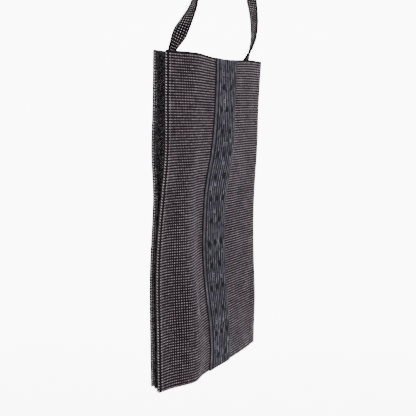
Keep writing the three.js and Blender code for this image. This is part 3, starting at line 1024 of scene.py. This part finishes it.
@dataclass
class Panel:
    """One panel: a closed cloth shell with rolled rims and a turned hem, its floats and its stitches."""

    surface: PanelSurface
    shop: Workshop
    spacing: float = 3.6 * MM
    float_size: Extent = (1.4 * MM, 1 * MM, 0.3 * MM)
    rim_float_size: Extent = (1.25 * MM, 0.85 * MM, 0.4 * MM)
    rim_shift: float = 1 * MM
    stitch_size: Extent = (2.6 * MM, 0.5 * MM, 0.5 * MM)
    stitch_inset: float = 6.3 * MM
    stitch_pitch: float = 3.2 * MM
    stitch_ends: tuple[float, float] = (4 * MM, 3 * MM)
    stitch_rise: float = 0.1 * MM
    clear: float = 0.9 * MM
    first_row: float = 2.3 * MM
    hem_ends: float = 9 * MM
    hem_margin: float = 1 * MM
    strap_clear: float = 10 * MM
    front_turns: tuple[float, ...] = (0.1,)
    back_turns: tuple[float, ...] = (-0.75, 0.75)

    def build(self) -> None:
        """Builds and dresses the panel."""
        seat(self._shell(), "dotted_cloth", self.surface.node)
        seat(self._floats(), "dotted_cloth")
        seat(self._rim_floats(), "dotted_cloth")
        seat(self._stitches(), "dotted_cloth")

    def _shell(self) -> Piece:
        """The cloth itself."""
        radius = RIM_WALL / 2
        along = rounded_steps(BAG_WIDTH, radius, self.spacing)
        height = rounded_steps(BAG_HEIGHT, radius, self.spacing)
        s, h = np.meshgrid(along, height)
        full = rounding(s, BAG_WIDTH, radius) * rounding(h, BAG_HEIGHT, radius)
        wall = self.surface.wall(s, h)
        outer = self.surface.place(s, h, wall / 2 * (1 - full))
        inner = self.surface.place(s, h, wall / 2 * (1 + full))
        rows, columns = s.shape
        rim = np.zeros(s.shape, bool)
        rim[[0, -1], :] = True
        rim[:, [0, -1]] = True
        index = np.arange(rows * columns).reshape(rows, columns)
        twin = index.copy()
        twin[~rim] = rows * columns + np.arange((~rim).sum())
        points = np.concatenate([outer.reshape(-1, 3), inner[~rim]])
        flat = np.stack([s, h], -1)
        weave = np.concatenate([flat.reshape(-1, 2), flat[~rim]])
        faces = [self._quads(index, self.surface.facing is Facing.FRONT)]
        faces.append(self._quads(twin, self.surface.facing is Facing.BACK))
        obj = mesh_object(self.surface.side + "_cloth", points, np.concatenate(faces).tolist(), weave)
        mark(obj.data, "bare", np.arange(len(points)) >= rows * columns)
        obj.data.materials.append(self.shop.cloth)
        return obj

    @staticmethod
    def _quads(index: Grid, forward: bool) -> Grid:
        """The faces of a grid of vertex numbers, the other way round where forward is False.

        Args:
            index: the vertices' numbers, in rows and columns.
            forward: which way the faces point.

        Returns:
            Four vertex numbers for each face.
        """
        corners = [index[:-1, :-1], index[:-1, 1:], index[1:, 1:], index[1:, :-1]]
        faces = np.stack([c.ravel() for c in corners], -1)
        return faces if forward else faces[:, ::-1]

    def _columns(self) -> Grid:
        """Where the columns of floats lie, beginning past the rolled rim."""
        first = RIM_WALL / 2 + COLUMN_PITCH - math.pi / 2 * RIM_WALL / 2
        count = int((BAG_WIDTH - 2 * first) / COLUMN_PITCH) + 1
        start = (BAG_WIDTH - (count - 1) * COLUMN_PITCH) / 2
        return start + COLUMN_PITCH * np.arange(count)

    def _rows(self) -> Grid:
        """Where the rows of floats lie."""
        count = int((BAG_HEIGHT - 2 * self.first_row) / ROW_PITCH) + 1
        return self.first_row + ROW_PITCH * np.arange(count)

    def _floats(self) -> Piece:
        """The raised floats on the outer face and on the hem inside."""
        columns, rows = self._columns(), self._rows()
        points = Points()
        free = columns[1:-1]
        free = free[(free < BAND_LEFT - self.clear) | (free > BAND_RIGHT + self.clear)]
        s, h = (grid.ravel() for grid in np.meshgrid(free, rows))
        facing, run = self.surface.frame_at(s, h)
        points.add(self.surface.place(s, h, 0), facing, run)
        hem = BAG_HEIGHT - rows[rows < HEM_DEPTH - self.hem_margin]
        within = columns[(columns > self.hem_ends) & (columns < BAG_WIDTH - self.hem_ends)]
        s, h = (grid.ravel() for grid in np.meshgrid(within, hem))
        facing, run = self.surface.frame_at(s, h)
        clear = np.ones(s.shape, bool)
        if self.surface.facing is Facing.BACK:
            for foot in (STRAP_INSET, BAG_WIDTH - STRAP_INSET):
                clear &= np.abs(s - foot) > self.strap_clear
        points.add(self.surface.inner(s, h)[clear], -facing[clear], run[clear])
        name = self.surface.side + "_floats"
        return self.shop.lay(name, points, self.float_size, self.shop.dots, seed=11)

    def _rim_floats(self) -> Piece:
        """The floats at both side rims: on the rolled edge and in the outermost column on the face."""
        rows = self._rows()
        points = Points()
        columns = self._columns()
        for column in (columns[0] + self.rim_shift, columns[-1] - self.rim_shift):
            s = np.full(rows.shape, column)
            facing, run = self.surface.frame_at(s, rows)
            points.add(self.surface.place(s, rows, 0), facing, run)
        radius = RIM_WALL / 2
        facing = self.surface.facing
        at_front = facing is Facing.FRONT
        for side in (-1, 1):
            for turn in self.front_turns if at_front else self.back_turns:
                inset = radius * (1 - math.cos(turn))
                edge = np.full(rows.shape, inset if side < 0 else BAG_WIDTH - inset)
                spots = self.surface.place(edge, rows, radius * (1 - math.sin(turn)))
                out = np.array((side * math.cos(turn), facing.value * math.sin(turn), 0.0))
                points.add(spots, out, np.array((-out[1], out[0], 0.0)))
        # The front panel's rim floats take the lit copy of the dot yarn, whose paler colour is painted
        # highlight.
        yarn = self.shop.painted_highlight_dots if at_front else self.shop.dots
        name = self.surface.side + "_rim_floats"
        return self.shop.lay(name, points, self.rim_float_size, yarn, seed=13)

    def _stitches(self) -> Piece:
        """The lines of stitches along the side rims."""
        heights = np.arange(self.stitch_ends[0], BAG_HEIGHT - self.stitch_ends[1], self.stitch_pitch)
        places = (self.stitch_inset, BAG_WIDTH - self.stitch_inset)
        points = stitch_lines(self.surface, places, heights, self.stitch_rise)
        name = self.surface.side + "_stitches"
        return self.shop.lay(name, points, self.stitch_size, self.shop.thread, spread=0.05, seed=5)


@dataclass(frozen=True)
class CordRow:
    """One cord of the band: how far it lies from the band's left edge, its radius, how far it stands up."""

    at: float
    radius: float
    rise: float
    broken: bool = True


@dataclass
class Band:
    """A woven band on a panel: a thin ground, upright cords, and small eyelets where cords part."""

    surface: PanelSurface
    shop: Workshop
    low: float = 0.3 * MM
    high: float = 1.2 * MM
    step: float = 1.6 * MM
    ground_grid: tuple[int, int] = (25, 109)
    cord_ends: tuple[float, float] = (0.8 * MM, 0.6 * MM)
    cord_sides: int = 8
    fine_pitch: float = 6.6 * MM
    fine_radius: float = 1.1 * MM
    fine_rise: float = 0.32 * MM
    knot: float = 13 * MM
    pinch: tuple[float, float] = (0.2, 0.1)
    eyelet_pitch: float = 26 * MM
    eyelet_start: float = 0.55
    eyelet: float = 5 * MM
    seed: int = 21
    edge_drop: float = 0.5 * MM
    edge_run: float = 1.5 * MM
    border_places: tuple[float, ...] = (3.4 * MM, 6.4 * MM)
    border_size: tuple[float, float] = (1.25 * MM, 0.3 * MM)
    border_tone: float = 0.3
    last_border: tuple[float, float] = (1.2 * MM, 0.3 * MM)
    last_inset: float = 2 * MM
    fine_start: float = 15 * MM
    fine_end: float = 7 * MM
    few_eyelets: tuple[int, ...] = (2, 6)
    more_eyelets: tuple[int, ...] = (1, 4, 7)
    knot_reach: tuple[float, float] = (0.4 * MM, 1.8 * MM)
    knot_drift: tuple[float, float] = (0.25, 41)
    eyelet_blend: float = 0.9 * MM
    eyelet_push: float = 0.7 * MM
    eyelet_cut: float = 0.85
    swell: float = 0.07
    swell_draw: tuple[float, int] = (0.7, 60)
    sway: float = 0.18 * MM
    sway_draw: tuple[float, int] = (1, 45)
    tone_draws: int = 70
    tie_start: float = 1.05
    tie_share: float = 0.3
    tie_rise: float = 0.3 * MM
    tie_length: float = 0.8
    tie_thread: tuple[float, float] = (0.7 * MM, 0.6 * MM)
    tie_drift: float = 4 * MM
    tie_gap: float = 1.6 * MM
    stitch_pitch: float = 3.4 * MM
    stitch_ends: tuple[float, float] = (3 * MM, 2 * MM)
    stitch_rise: float = 0.85 * MM
    stitch_inset: float = 0.3 * MM
    stitch_size: Extent = (2.7 * MM, 0.55 * MM, 0.5 * MM)

    def build(self) -> None:
        """Builds and dresses the band."""
        seat(self._ground(), "ribbed_band", self.surface.side + "_band")
        seat(self._cords(), "ribbed_band")
        seat(self._ties(), "ribbed_band")
        seat(self._stitches(), "ribbed_band")

    def _ground(self) -> Piece:
        """The dark cloth under the cords."""
        columns, rows = self.ground_grid
        s, h = np.meshgrid(np.linspace(BAND_LEFT, BAND_RIGHT, columns), np.linspace(0, BAG_HEIGHT, rows))
        edge = np.minimum(s - BAND_LEFT, BAND_RIGHT - s)
        high = self.high - self.edge_drop * (1 - smoothstep(edge, 0, self.edge_run))
        outer = self.surface.place(s, h, -high)
        inner = self.surface.place(s, h, -self.low)
        obj = sheet_object(self.surface.side + "_band_ground", outer, inner, np.stack([s, h], -1))
        obj.data.materials.append(self.shop.under)
        return obj

    def _rows(self) -> list[CordRow]:
        """The cords from left to right: soft wide ones at the borders, fine broken ones between."""
        border = [CordRow(at, *self.border_size, False) for at in self.border_places]
        last = BAND_WIDTH - self.fine_end
        places = np.linspace(self.fine_start, last, round((last - self.fine_start) / self.fine_pitch) + 1)
        fine = [CordRow(at, self.fine_radius, self.fine_rise) for at in places]
        return [*border, *fine, CordRow(BAND_WIDTH - self.last_inset, *self.last_border, False)]

    def _eyelets(self) -> list[tuple[int, float]]:
        """The fine cords that part, and the height at which each does: two, then three, in turn."""
        found = []
        levels = int(BAG_HEIGHT / self.eyelet_pitch)
        for level in range(levels):
            height = (level + self.eyelet_start) * self.eyelet_pitch
            chosen = self.more_eyelets if level % 2 else self.few_eyelets
            found += [(cord, height) for cord in chosen]
        return found

    def _cords(self) -> Piece:
        """All the cords, swept along the cloth."""
        random = np.random.default_rng(self.seed)
        heights = np.arange(self.cord_ends[0], BAG_HEIGHT - self.cord_ends[1], self.step)
        rows = self._rows()
        first_fine = next(i for i, row in enumerate(rows) if row.broken)
        eyelets = self._eyelets()
        points, edges, radii, tones = [], [], [], []
        for number, row in enumerate(rows):
            drift = self.knot_drift[0] * np.sin(heights * self.knot_drift[1] + number)
            knots = (heights / self.knot + random.uniform(0, 1) + drift) % 1
            pinch = 1 - smoothstep(np.abs(knots - 0.5) * self.knot, *self.knot_reach)
            radius = row.radius * (1 - self.pinch[0 if row.broken else 1] * pinch)
            radius *= 1 + self.swell * self._drawn(heights, random.normal(0, *self.swell_draw))
            sway = self.sway * self._drawn(heights, random.normal(0, *self.sway_draw))
            for cord, level in eyelets:
                if row.broken and abs(number - first_fine - cord) <= 1:
                    reach = np.abs(heights - level)
                    ends = self.eyelet / 2 - self.eyelet_blend, self.eyelet / 2 + self.eyelet_blend
                    near = 1 - smoothstep(reach, *ends)
                    away = number - first_fine - cord
                    sway += away * self.eyelet_push * near
                    if away == 0:
                        radius = radius * (1 - self.eyelet_cut * near)
            along = BAND_LEFT + row.at + sway
            centre = self.surface.place(along, heights, row.radius - row.rise - self.high)
            start = len(heights) * number
            points.append(centre)
            radii.append(radius)
            shade = 1 if row.broken else self.border_tone
            tones.append(shade * self._drawn(heights, random.uniform(0, 1, self.tone_draws)))
            edges += [(start + k, start + k + 1) for k in range(len(heights) - 1)]
        mesh = bpy.data.meshes.new("cord_lines")
        mesh.from_pydata(np.concatenate(points).tolist(), edges, [])
        mark(mesh, "radius", np.concatenate(radii))
        mark(mesh, "tone", np.concatenate(tones))
        lines = link(bpy.data.objects.new("cord_lines", mesh))
        values = {"Sides": self.cord_sides, "Material": self.shop.cord}
        return self.shop.cords.run(self.surface.side + "_band_cords", lines, values)

    @staticmethod
    def _drawn(heights: Grid, values: Grid) -> Grid:
        """Random values spread evenly over the bag's height, read at heights between."""
        return np.interp(heights, np.linspace(0, BAG_HEIGHT, len(values)), values)

    def _ties(self) -> Piece:
        """Small patches of cross threads that join two or three fine cords between the eyelets."""
        random = np.random.default_rng(self.seed + 1)
        rows = [row for row in self._rows() if row.broken]
        points = Points()
        for level in range(int(BAG_HEIGHT / self.eyelet_pitch)):
            middle = (level + self.tie_start) * self.eyelet_pitch
            for row in rows[:-1]:
                if random.uniform() < self.tie_share and middle < BAG_HEIGHT - self.tie_drift:
                    drift = random.uniform(-self.tie_drift, self.tie_drift)
                    heights = middle + drift + np.array((-1, 0, 1)) * self.tie_gap
                    s = np.full(heights.shape, BAND_LEFT + row.at + self.fine_pitch / 2)
                    facing, run = self.surface.frame_at(s, heights)
                    points.add(self.surface.place(s, heights, -self.high - self.tie_rise), facing, run)
        size = (self.tie_length * self.fine_pitch, *self.tie_thread)
        name = self.surface.side + "_band_ties"
        return self.shop.lay(name, points, size, self.shop.cord, spread=0.2, seed=9)

    def _stitches(self) -> Piece:
        """Dark stitches that hold the band along both edges."""
        heights = np.arange(self.stitch_ends[0], BAG_HEIGHT - self.stitch_ends[1], self.stitch_pitch)
        places = (BAND_LEFT + self.stitch_inset, BAND_RIGHT - self.stitch_inset)
        points = stitch_lines(self.surface, places, heights, self.stitch_rise)
        name = self.surface.side + "_band_stitches"
        return self.shop.lay(name, points, self.stitch_size, self.shop.dark_thread, spread=0.05, seed=6)


@dataclass
class Strip:
    """A folded strip between the two panels, whose section is bent through a few points."""

    front: PanelSurface
    back: PanelSurface
    shop: Workshop
    wall: float = 1.2 * MM
    gap: float = 0.5 * MM
    inset: float = 1.5 * MM
    spread: float = 0.12
    fold_wall: float = 0.8
    fine: int = 22
    rise: float = 5 * MM
    end_rise: float = 2.4 * MM
    end_run: float = 24 * MM

    def rise_at(self, along: Grid | float) -> Grid:
        """How far the base strip's fold rises between the panels at a distance along them."""
        share = smoothstep(np.minimum(along, BAG_WIDTH - along), 0, self.end_run)
        return self.end_rise + (self.rise - self.end_rise) * share

    def _section(self, spots: Sequence[float], fold: float, raised: float, place: Place) -> Grid:
        """One section of the strip.

        Args:
            spots: of the points that lie on each panel, outermost first.
            fold: the spot of the fold.
            raised: how far this face stands off the panels.
            place: the distances along and up for a spot, how much it is raised, and its panel.

        Returns:
            The points of a smooth line through the section.
        """
        knots = []
        for facing, order in ((Facing.FRONT, spots), (Facing.BACK, spots[::-1])):
            panel = self.front if facing is Facing.FRONT else self.back
            part = [panel.inner(*place(spot, raised, facing), self.gap + raised) for spot in order]
            along, height = place(fold, raised, facing)
            ends = self.front.inner(along, height), self.back.inner(along, height)
            middle = (ends[0] + ends[1]) / 2
            apart = (ends[1][1] - ends[0][1]) * self.spread
            middle[1] += facing.value * (self.wall + apart - self.fold_wall * raised)
            knots += [*part, middle] if facing is Facing.FRONT else [middle, *part]
        knots = np.array(knots)
        at = lengths(knots)
        return smooth_curve(knots, at, np.linspace(0, at[-1], self.fine))

    def _sheet(
        self, name: str, spots: Sequence[float], fold: float, places: Sequence[Place], material: Finish
    ) -> Piece:
        """Joins sections into a closed strip.

        Args:
            name: of the piece.
            spots: of each section's points.
            fold: the spot of its fold.
            places: how each section is placed.
            material: the strip's finish.

        Returns:
            The piece.
        """
        lying, seen = (
            np.array([self._section(spots, fold, raised, place) for place in places])
            for raised in (0.0, self.wall)
        )
        across = np.array([lengths(row) for row in seen])
        run = lengths(seen[:, 0])[:, None] * np.ones_like(across)
        obj = sheet_object(name, seen, lying, np.stack([across, run], -1))
        mark(obj.data, "bare", np.ones(len(obj.data.vertices)))
        obj.data.materials.append(material)
        return obj


@dataclass
class SideGusset(Strip):
    """The black strip folded in at one side."""

    left: bool = True
    fold: float = 15 * MM
    seams: tuple[float, float] = (3.2 * MM, 0.6 * MM)
    below: int = 4
    above: int = 80

    def build(self) -> None:
        """Builds and dresses the gusset."""
        name = "left_gusset" if self.left else "right_gusset"
        spots = (self.inset, RIM_RUN, RIM_RUN + RIM_BLEND)
        places = [partial(self._place, number) for number in range(-self.below, self.above + 1)]
        seat(self._sheet(name + "_cloth", spots, self.fold, places, self.shop.black), "black_gusset", name)

    def _place(self, number: int, spot: float, raised: float, facing: Facing) -> tuple[float, float]:
        """The place of a spot at a section. Those below 0 close in on the base strip.

        Args:
            number: the section's number.
            spot: how far in from the panels' side edges it lies.
            raised: how far its face stands off the panels.
            facing: which panel it lies on.

        Returns:
            The place along the panel and the height.
        """
        start = self.fold + RIM_RUN
        inward = spot - raised if spot == self.fold else spot
        along = inward if self.left else BAG_WIDTH - inward
        if number >= 0:
            return along, start + (BAG_HEIGHT - self.inset - start) * number / self.above
        low = self.rise_at(spot) + self.seams[0 if facing is Facing.FRONT else 1]
        return along, low + (start - low) * (number / self.below + 1)


@dataclass
class BaseStrip(Strip):
    """The dotted strip that closes the bottom, with spots as shares of the way from seam to fold."""

    low: float = 0.8 * MM
    end: float = 1 * MM
    shares: tuple[float, ...] = (0, 0.4, 1)
    count: int = 110
    float_size: Extent = (1.3 * MM, 1.1 * MM, 0.4 * MM)

    def build(self) -> None:
        """Builds and dresses the strip."""
        sections = np.linspace(self.end, BAG_WIDTH - self.end, self.count)
        places = [partial(self._place, along) for along in sections]
        strip = self._sheet("base_strip_cloth", self.shares, 1, places, self.shop.cloth)
        seat(strip, "dotted_cloth", "base_strip")
        seat(self._floats(), "dotted_cloth")

    def _place(self, along: float, spot: float, raised: float, _: Facing) -> tuple[float, float]:
        """The place of a spot at a section."""
        return along, self.low + (self.rise_at(along) - raised - self.low) * spot

    def _floats(self) -> Piece:
        """The floats at both ends, which show at the bag's lower corners."""
        points = Points()
        for along in (self.end, BAG_WIDTH - self.end):
            low = self.front.inner(along, self.low, self.gap)
            high = self.back.inner(along, self.low, self.gap)
            count = int((high[1] - low[1]) / COLUMN_PITCH)
            shares = (np.arange(count) + 0.5) / count
            outward = -1 if along < BAG_WIDTH / 2 else 1
            places = low + (high - low) * shares[:, None] + np.array((0, 0, self.wall / 2))
            run = (high - low) / np.linalg.norm(high - low)
            points.add(places, np.array((outward, 0.0, 0.0)), run)
        # The end floats take the lit copy of the dot yarn too, whose paler colour is painted highlight.
        return self.shop.lay("base_strip_floats", points, self.float_size, self.shop.painted_highlight_dots, seed=19)


@dataclass(frozen=True)
class LegBend:
    """A place on a strap leg: shares of its height, lean and way forward, and both turns in degrees."""

    up: float
    lean: float
    forward: float
    near_turn: float
    far_turn: float


@dataclass(frozen=True)
class Route:
    """The strap's middle line, its wide and outward directions there, and the length so far."""

    centre: Grid
    wide: Grid
    out: Grid
    run: Grid

    def rows(self) -> tuple[Grid, Grid, Grid]:
        """The middle line and the two directions at the rows of floats."""
        every = slice(1, len(self.run) - 1, 2)
        return self.centre[every], self.wide[every], self.out[every]


@dataclass
class Strap:
    """The long strap: both ends sewn on the back panel's hem, a turn in each leg, the top over a hook."""

    back: PanelSurface
    shop: Workshop
    width: float = 16 * MM
    thick: float = 2.6 * MM
    gap: float = 0.3 * MM
    sewn: float = 20 * MM
    leaves: float = 8 * MM
    bend: float = 76 * MM
    lean: float = 34.5 * MM
    plane: float = -9.1 * MM
    hook: float = 15 * MM
    hook_spots: int = 7
    columns: int = 5
    column_pitch: float = 2.9 * MM
    float_size: Extent = (0.95 * MM, 1.1 * MM, 0.4 * MM)
    float_depth: float = 0.82
    across_step: float = 2 * MM
    middle_dip: float = 0.2
    edge_start: tuple[float, float] = (4 * MM, 6.4 * MM)
    stitch_place: float = 6.9 * MM
    stitch_size: Extent = (2.3 * MM, 0.5 * MM, 0.4 * MM)
    bends: tuple[LegBend, ...] = (
        LegBend(0, 0, 0.17, 3, 1),
        LegBend(0.07, 0.01, 0.28, 13, 12),
        LegBend(0.18, 0.05, 0.47, 40, 26),
        LegBend(0.34, 0.165, 0.7, 80, 36),
        LegBend(0.47, 0.33, 0.84, 103, 42),
        LegBend(0.6, 0.51, 0.95, 123, 48),
        LegBend(0.74, 0.69, 1, 136, 55),
        LegBend(1, 1, 1, 125, 72),
    )

    def build(self) -> None:
        """Builds and dresses the strap."""
        route = self._route()
        seat(self._cloth(route), "strap_cloth", "shoulder_strap")
        seat(self._floats(route), "strap_cloth")
        seat(self._stitches(route), "strap_cloth")

    def _leg(self, side: int) -> list[tuple[Grid, float]]:
        """The points and turns of one leg from its sewn end up.

        Args:
            side: -1 for the near leg and 1 for the far one.

        Returns:
            Each point with its turn in degrees.
        """
        foot = STRAP_INSET if side < 0 else BAG_WIDTH - STRAP_INSET
        flat = 0 if side < 0 else 180
        spots = []
        for below in (self.sewn, (self.sewn + self.leaves) / 2, self.leaves):
            ends = [
                self.back.inner(foot + share * self.width, BAG_HEIGHT - below, self.gap + self.thick / 2)
                for share in (-0.5, 0.5)
            ]
            slope = math.degrees(math.atan2(ends[1][1] - ends[0][1], ends[1][0] - ends[0][0]))
            spots.append(((ends[0] + ends[1]) / 2, flat - slope))
        root = spots[-1][0][1]
        reach = BAG_WIDTH / 2 - STRAP_INSET
        for row in self.bends:
            x = side * (reach - row.lean * self.lean)
            y = root + (self.plane - root) * row.forward
            turn = row.near_turn if side < 0 else 180 - row.far_turn
            spots.append((np.array((x, y, MOUTH_Z + row.up * self.bend)), turn))
        return spots

    def _over_hook(
        self, start: Grid, start_turn: float, end: Grid, end_turn: float
    ) -> list[tuple[Grid, float]]:
        """The stretch over the hook.

        Args:
            start: the upper end of the near leg.
            start_turn: its turn in degrees.
            end: the upper end of the far leg.
            end_turn: its turn in degrees.

        Returns:
            Each point between them with its turn.
        """
        radius = self.hook + self.thick / 2
        centre = np.array((0.0, 0.0, -self.hook))
        rise = centre[2] - start[2]
        steep = math.atan2(-start[0], rise) - math.asin(radius / math.hypot(start[0], rise))
        angles = np.linspace(steep - math.pi / 2, math.pi / 2 - steep, self.hook_spots)
        arc = [(centre + radius * np.array((math.sin(a), 0, math.cos(a))), 90.0) for a in angles]

        def straight(foot: Grid, turn: float, top: Grid) -> list[tuple[Grid, float]]:
            """The points of the straight stretch from a leg up to the hook."""
            return [(foot + (top - foot) * t, turn + (90 - turn) * math.sqrt(t)) for t in (0.25, 0.5, 0.75)]

        return [*straight(start, start_turn, arc[0][0]), *arc, *straight(end, end_turn, arc[-1][0])[::-1]]

    def _route(self) -> Route:
        """The strap's way from its near end over the hook to its far end."""
        near, far = self._leg(-1), self._leg(1)[::-1]
        spots = [*near, *self._over_hook(*near[-1], *far[0]), *far]
        places = np.array([spot[0] for spot in spots])
        knots = np.column_stack([places, [spot[1] for spot in spots]])
        at = lengths(places)
        run = np.linspace(0, at[-1], round(at[-1] / ROW_PITCH * 2) + 1)
        line = smooth_curve(knots, at, run)
        centre, turn = line[:, :3], np.radians(line[:, 3])
        ahead = np.gradient(centre, run, axis=0)
        ahead /= np.linalg.norm(ahead, axis=1, keepdims=True)
        wide = np.column_stack([np.cos(turn), -np.sin(turn), np.zeros(len(turn))])
        wide -= ahead * np.einsum("ij,ij->i", ahead, wide)[:, None]
        wide /= np.linalg.norm(wide, axis=1, keepdims=True)
        return Route(centre, wide, np.cross(ahead, wide), run)

    def _cloth(self, route: Route) -> Piece:
        """The folded cloth, a little thicker along its two edges.

        Args:
            route: the strap's way.

        Returns:
            The cloth's object.
        """
        half, thick = self.width / 2, self.thick / 2
        across = rounded_steps(self.width, thick, self.across_step) - half
        edge = np.clip((half - np.abs(across)) / thick, 0, 1)
        share = 1 - self.middle_dip * (1 - smoothstep(np.abs(across), *self.edge_start))
        swell = np.sqrt(1 - (1 - edge) ** 2) * thick * share
        middle = route.centre[:, None] + route.wide[:, None] * across[None, :, None]
        raised = route.out[:, None] * swell[None, :, None]
        weave = np.stack(np.meshgrid(across, route.run), -1)
        obj = sheet_object("strap_cloth_fold", middle + raised, middle - raised, weave)
        obj.data.materials.append(self.shop.cloth)
        return obj

    def _floats(self, route: Route) -> Piece:
        """The floats on both flat faces.

        Args:
            route: the strap's way.

        Returns:
            The floats' object.
        """
        centre, wide, out = route.rows()
        points = Points()
        for column in range(self.columns):
            offset = (column - (self.columns - 1) / 2) * self.column_pitch
            for sign in (-1, 1):
                raised = out * (sign * self.thick / 2 * self.float_depth)
                points.add(centre + wide * offset + raised, out * sign, wide)
        return self.shop.lay("strap_floats", points, self.float_size, self.shop.strap_dots, seed=17)

    def _stitches(self, route: Route) -> Piece:
        """The stitches along both edges.

        Args:
            route: the strap's way.

        Returns:
            The stitches' object.
        """
        centre, wide, out = route.rows()
        points = Points()
        for sign in (-1, 1):
            for edge in (-1, 1):
                places = centre + wide * (edge * self.stitch_place) + out * (sign * self.thick / 2)
                points.add(places, out * sign, np.cross(wide, out))
        thread = self.shop.dark_thread
        return self.shop.lay("strap_stitches", points, self.stitch_size, thread, spread=0.05, seed=8)


@dataclass
class Studio:
    """A pale bowl around the bag, soft lights and the camera at the photo's angle."""

    floor_z: float = -1.0
    floor_rings: tuple[float, float] = (0.02, 0.8)
    floor_radius: float = 2.4
    wall_radius: float = 3.4
    wall_height: float = 2.0
    eye: Extent = (-1.2696, -0.5007, -0.2987)
    look: tuple[float, float] = (0.9285, 0.3714)
    down: float = math.atan2(105, 1180)
    roll: float = 0.024
    focal_pixels: float = 1180
    image_width: int = 416
    bowl_sides: int = 72
    bowl_steps: int = 13
    sky: float = 0.4

    @property
    def ahead(self) -> Vector:
        """The way the camera looks."""
        level = Vector((*self.look, 0)).normalized()
        return level * math.cos(self.down) - Vector((0, 0, math.sin(self.down)))

    def build(self) -> None:
        """Builds the stage, the lights and the camera."""
        self._bowl()
        self._light("key", (-2.0, -1.6, 0.9), size=1.6, power=22)
        self._light("front_fill", (-0.8, -2.4, -0.8), size=2.0, power=3.5)
        self._light("back_fill", (0.8, 2.2, 0.9), size=2.0, power=4.5)
        world = bpy.data.worlds.new("studio")
        bpy.context.scene.world = world
        world.use_nodes = True
        inputs = world.node_tree.nodes["Background"].inputs
        inputs["Color"].default_value = (1, 1, 1, 1)
        inputs["Strength"].default_value = self.sky
        self._camera()

    def _bowl(self) -> None:
        """The floor and the wall that it curves up into."""
        bend = self.wall_radius - self.floor_radius
        turns = np.linspace(0, math.pi / 2, self.bowl_steps)
        profile = [(radius, self.floor_z) for radius in self.floor_rings]
        profile += [
            (self.floor_radius + bend * math.sin(a), self.floor_z + bend * (1 - math.cos(a))) for a in turns
        ]
        profile.append((self.wall_radius, self.floor_z + self.wall_height))
        sides = self.bowl_sides
        angles = np.linspace(0, 2 * math.pi, sides, endpoint=False)
        points = np.array([(r * math.cos(a), r * math.sin(a), z) for r, z in profile for a in angles])
        index = np.arange(len(profile) * sides).reshape(len(profile), sides)
        nearby = np.roll(index, -1, axis=1)
        quads = np.stack([index[:-1], nearby[:-1], nearby[1:], index[1:]], -1).reshape(-1, 4)[:, ::-1]
        faces = [*quads.tolist(), index[0].tolist()]
        bowl = mesh_object("studio_bowl", points, faces)
        bowl.data.materials.append(Paper(self.eye, tuple(self.ahead)).build())

    def _light(self, name: str, place: Extent, size: float, power: float) -> None:
        """Adds a square soft light that looks at the bag's middle.

        Args:
            name: the light's name.
            place: where it stands.
            size: its side in metres.
            power: its power in watts.
        """
        lamp = bpy.data.lights.new(name, "AREA")
        lamp.size = size
        lamp.energy = power
        obj = link(bpy.data.objects.new(name, lamp))
        middle = Vector((0, 0, (BOTTOM_Z + MOUTH_Z) / 2))
        way = middle - Vector(place)
        obj.matrix_world = Matrix.Translation(place) @ way.to_track_quat("-Z", "Y").to_matrix().to_4x4()

    def _camera(self) -> None:
        """The camera, solved from the corners of the front panel in the photo."""
        ahead = self.ahead
        right = ahead.cross(Vector((0, 0, 1))).normalized()
        above = right.cross(ahead)
        across = right * math.cos(self.roll) + above * math.sin(self.roll)
        upward = above * math.cos(self.roll) - right * math.sin(self.roll)
        lens = bpy.data.cameras.new("camera")
        lens.sensor_width = 36
        lens.lens = lens.sensor_width * self.focal_pixels / self.image_width
        lens.clip_start = 0.05
        camera = link(bpy.data.objects.new("camera", lens))
        turn = Matrix((across, upward, -ahead)).transposed().to_4x4()
        camera.matrix_world = Matrix.Translation(self.eye) @ turn
        bpy.context.scene.camera = camera


def main() -> None:
    """Builds every piece in order."""
    logging.basicConfig(level=logging.INFO, format="%(message)s")
    shop = Workshop()
    Studio().build()
    front = PanelSurface("front_panel", Facing.FRONT)
    back = PanelSurface("back_panel", Facing.BACK)
    for surface in (front, back):
        Panel(surface, shop).build()
        Band(surface, shop).build()
    SideGusset(front, back, shop, left=True).build()
    SideGusset(front, back, shop, left=False).build()
    BaseStrip(front, back, shop).build()
    Strap(back, shop).build()


if __name__ == "__main__":
    main()
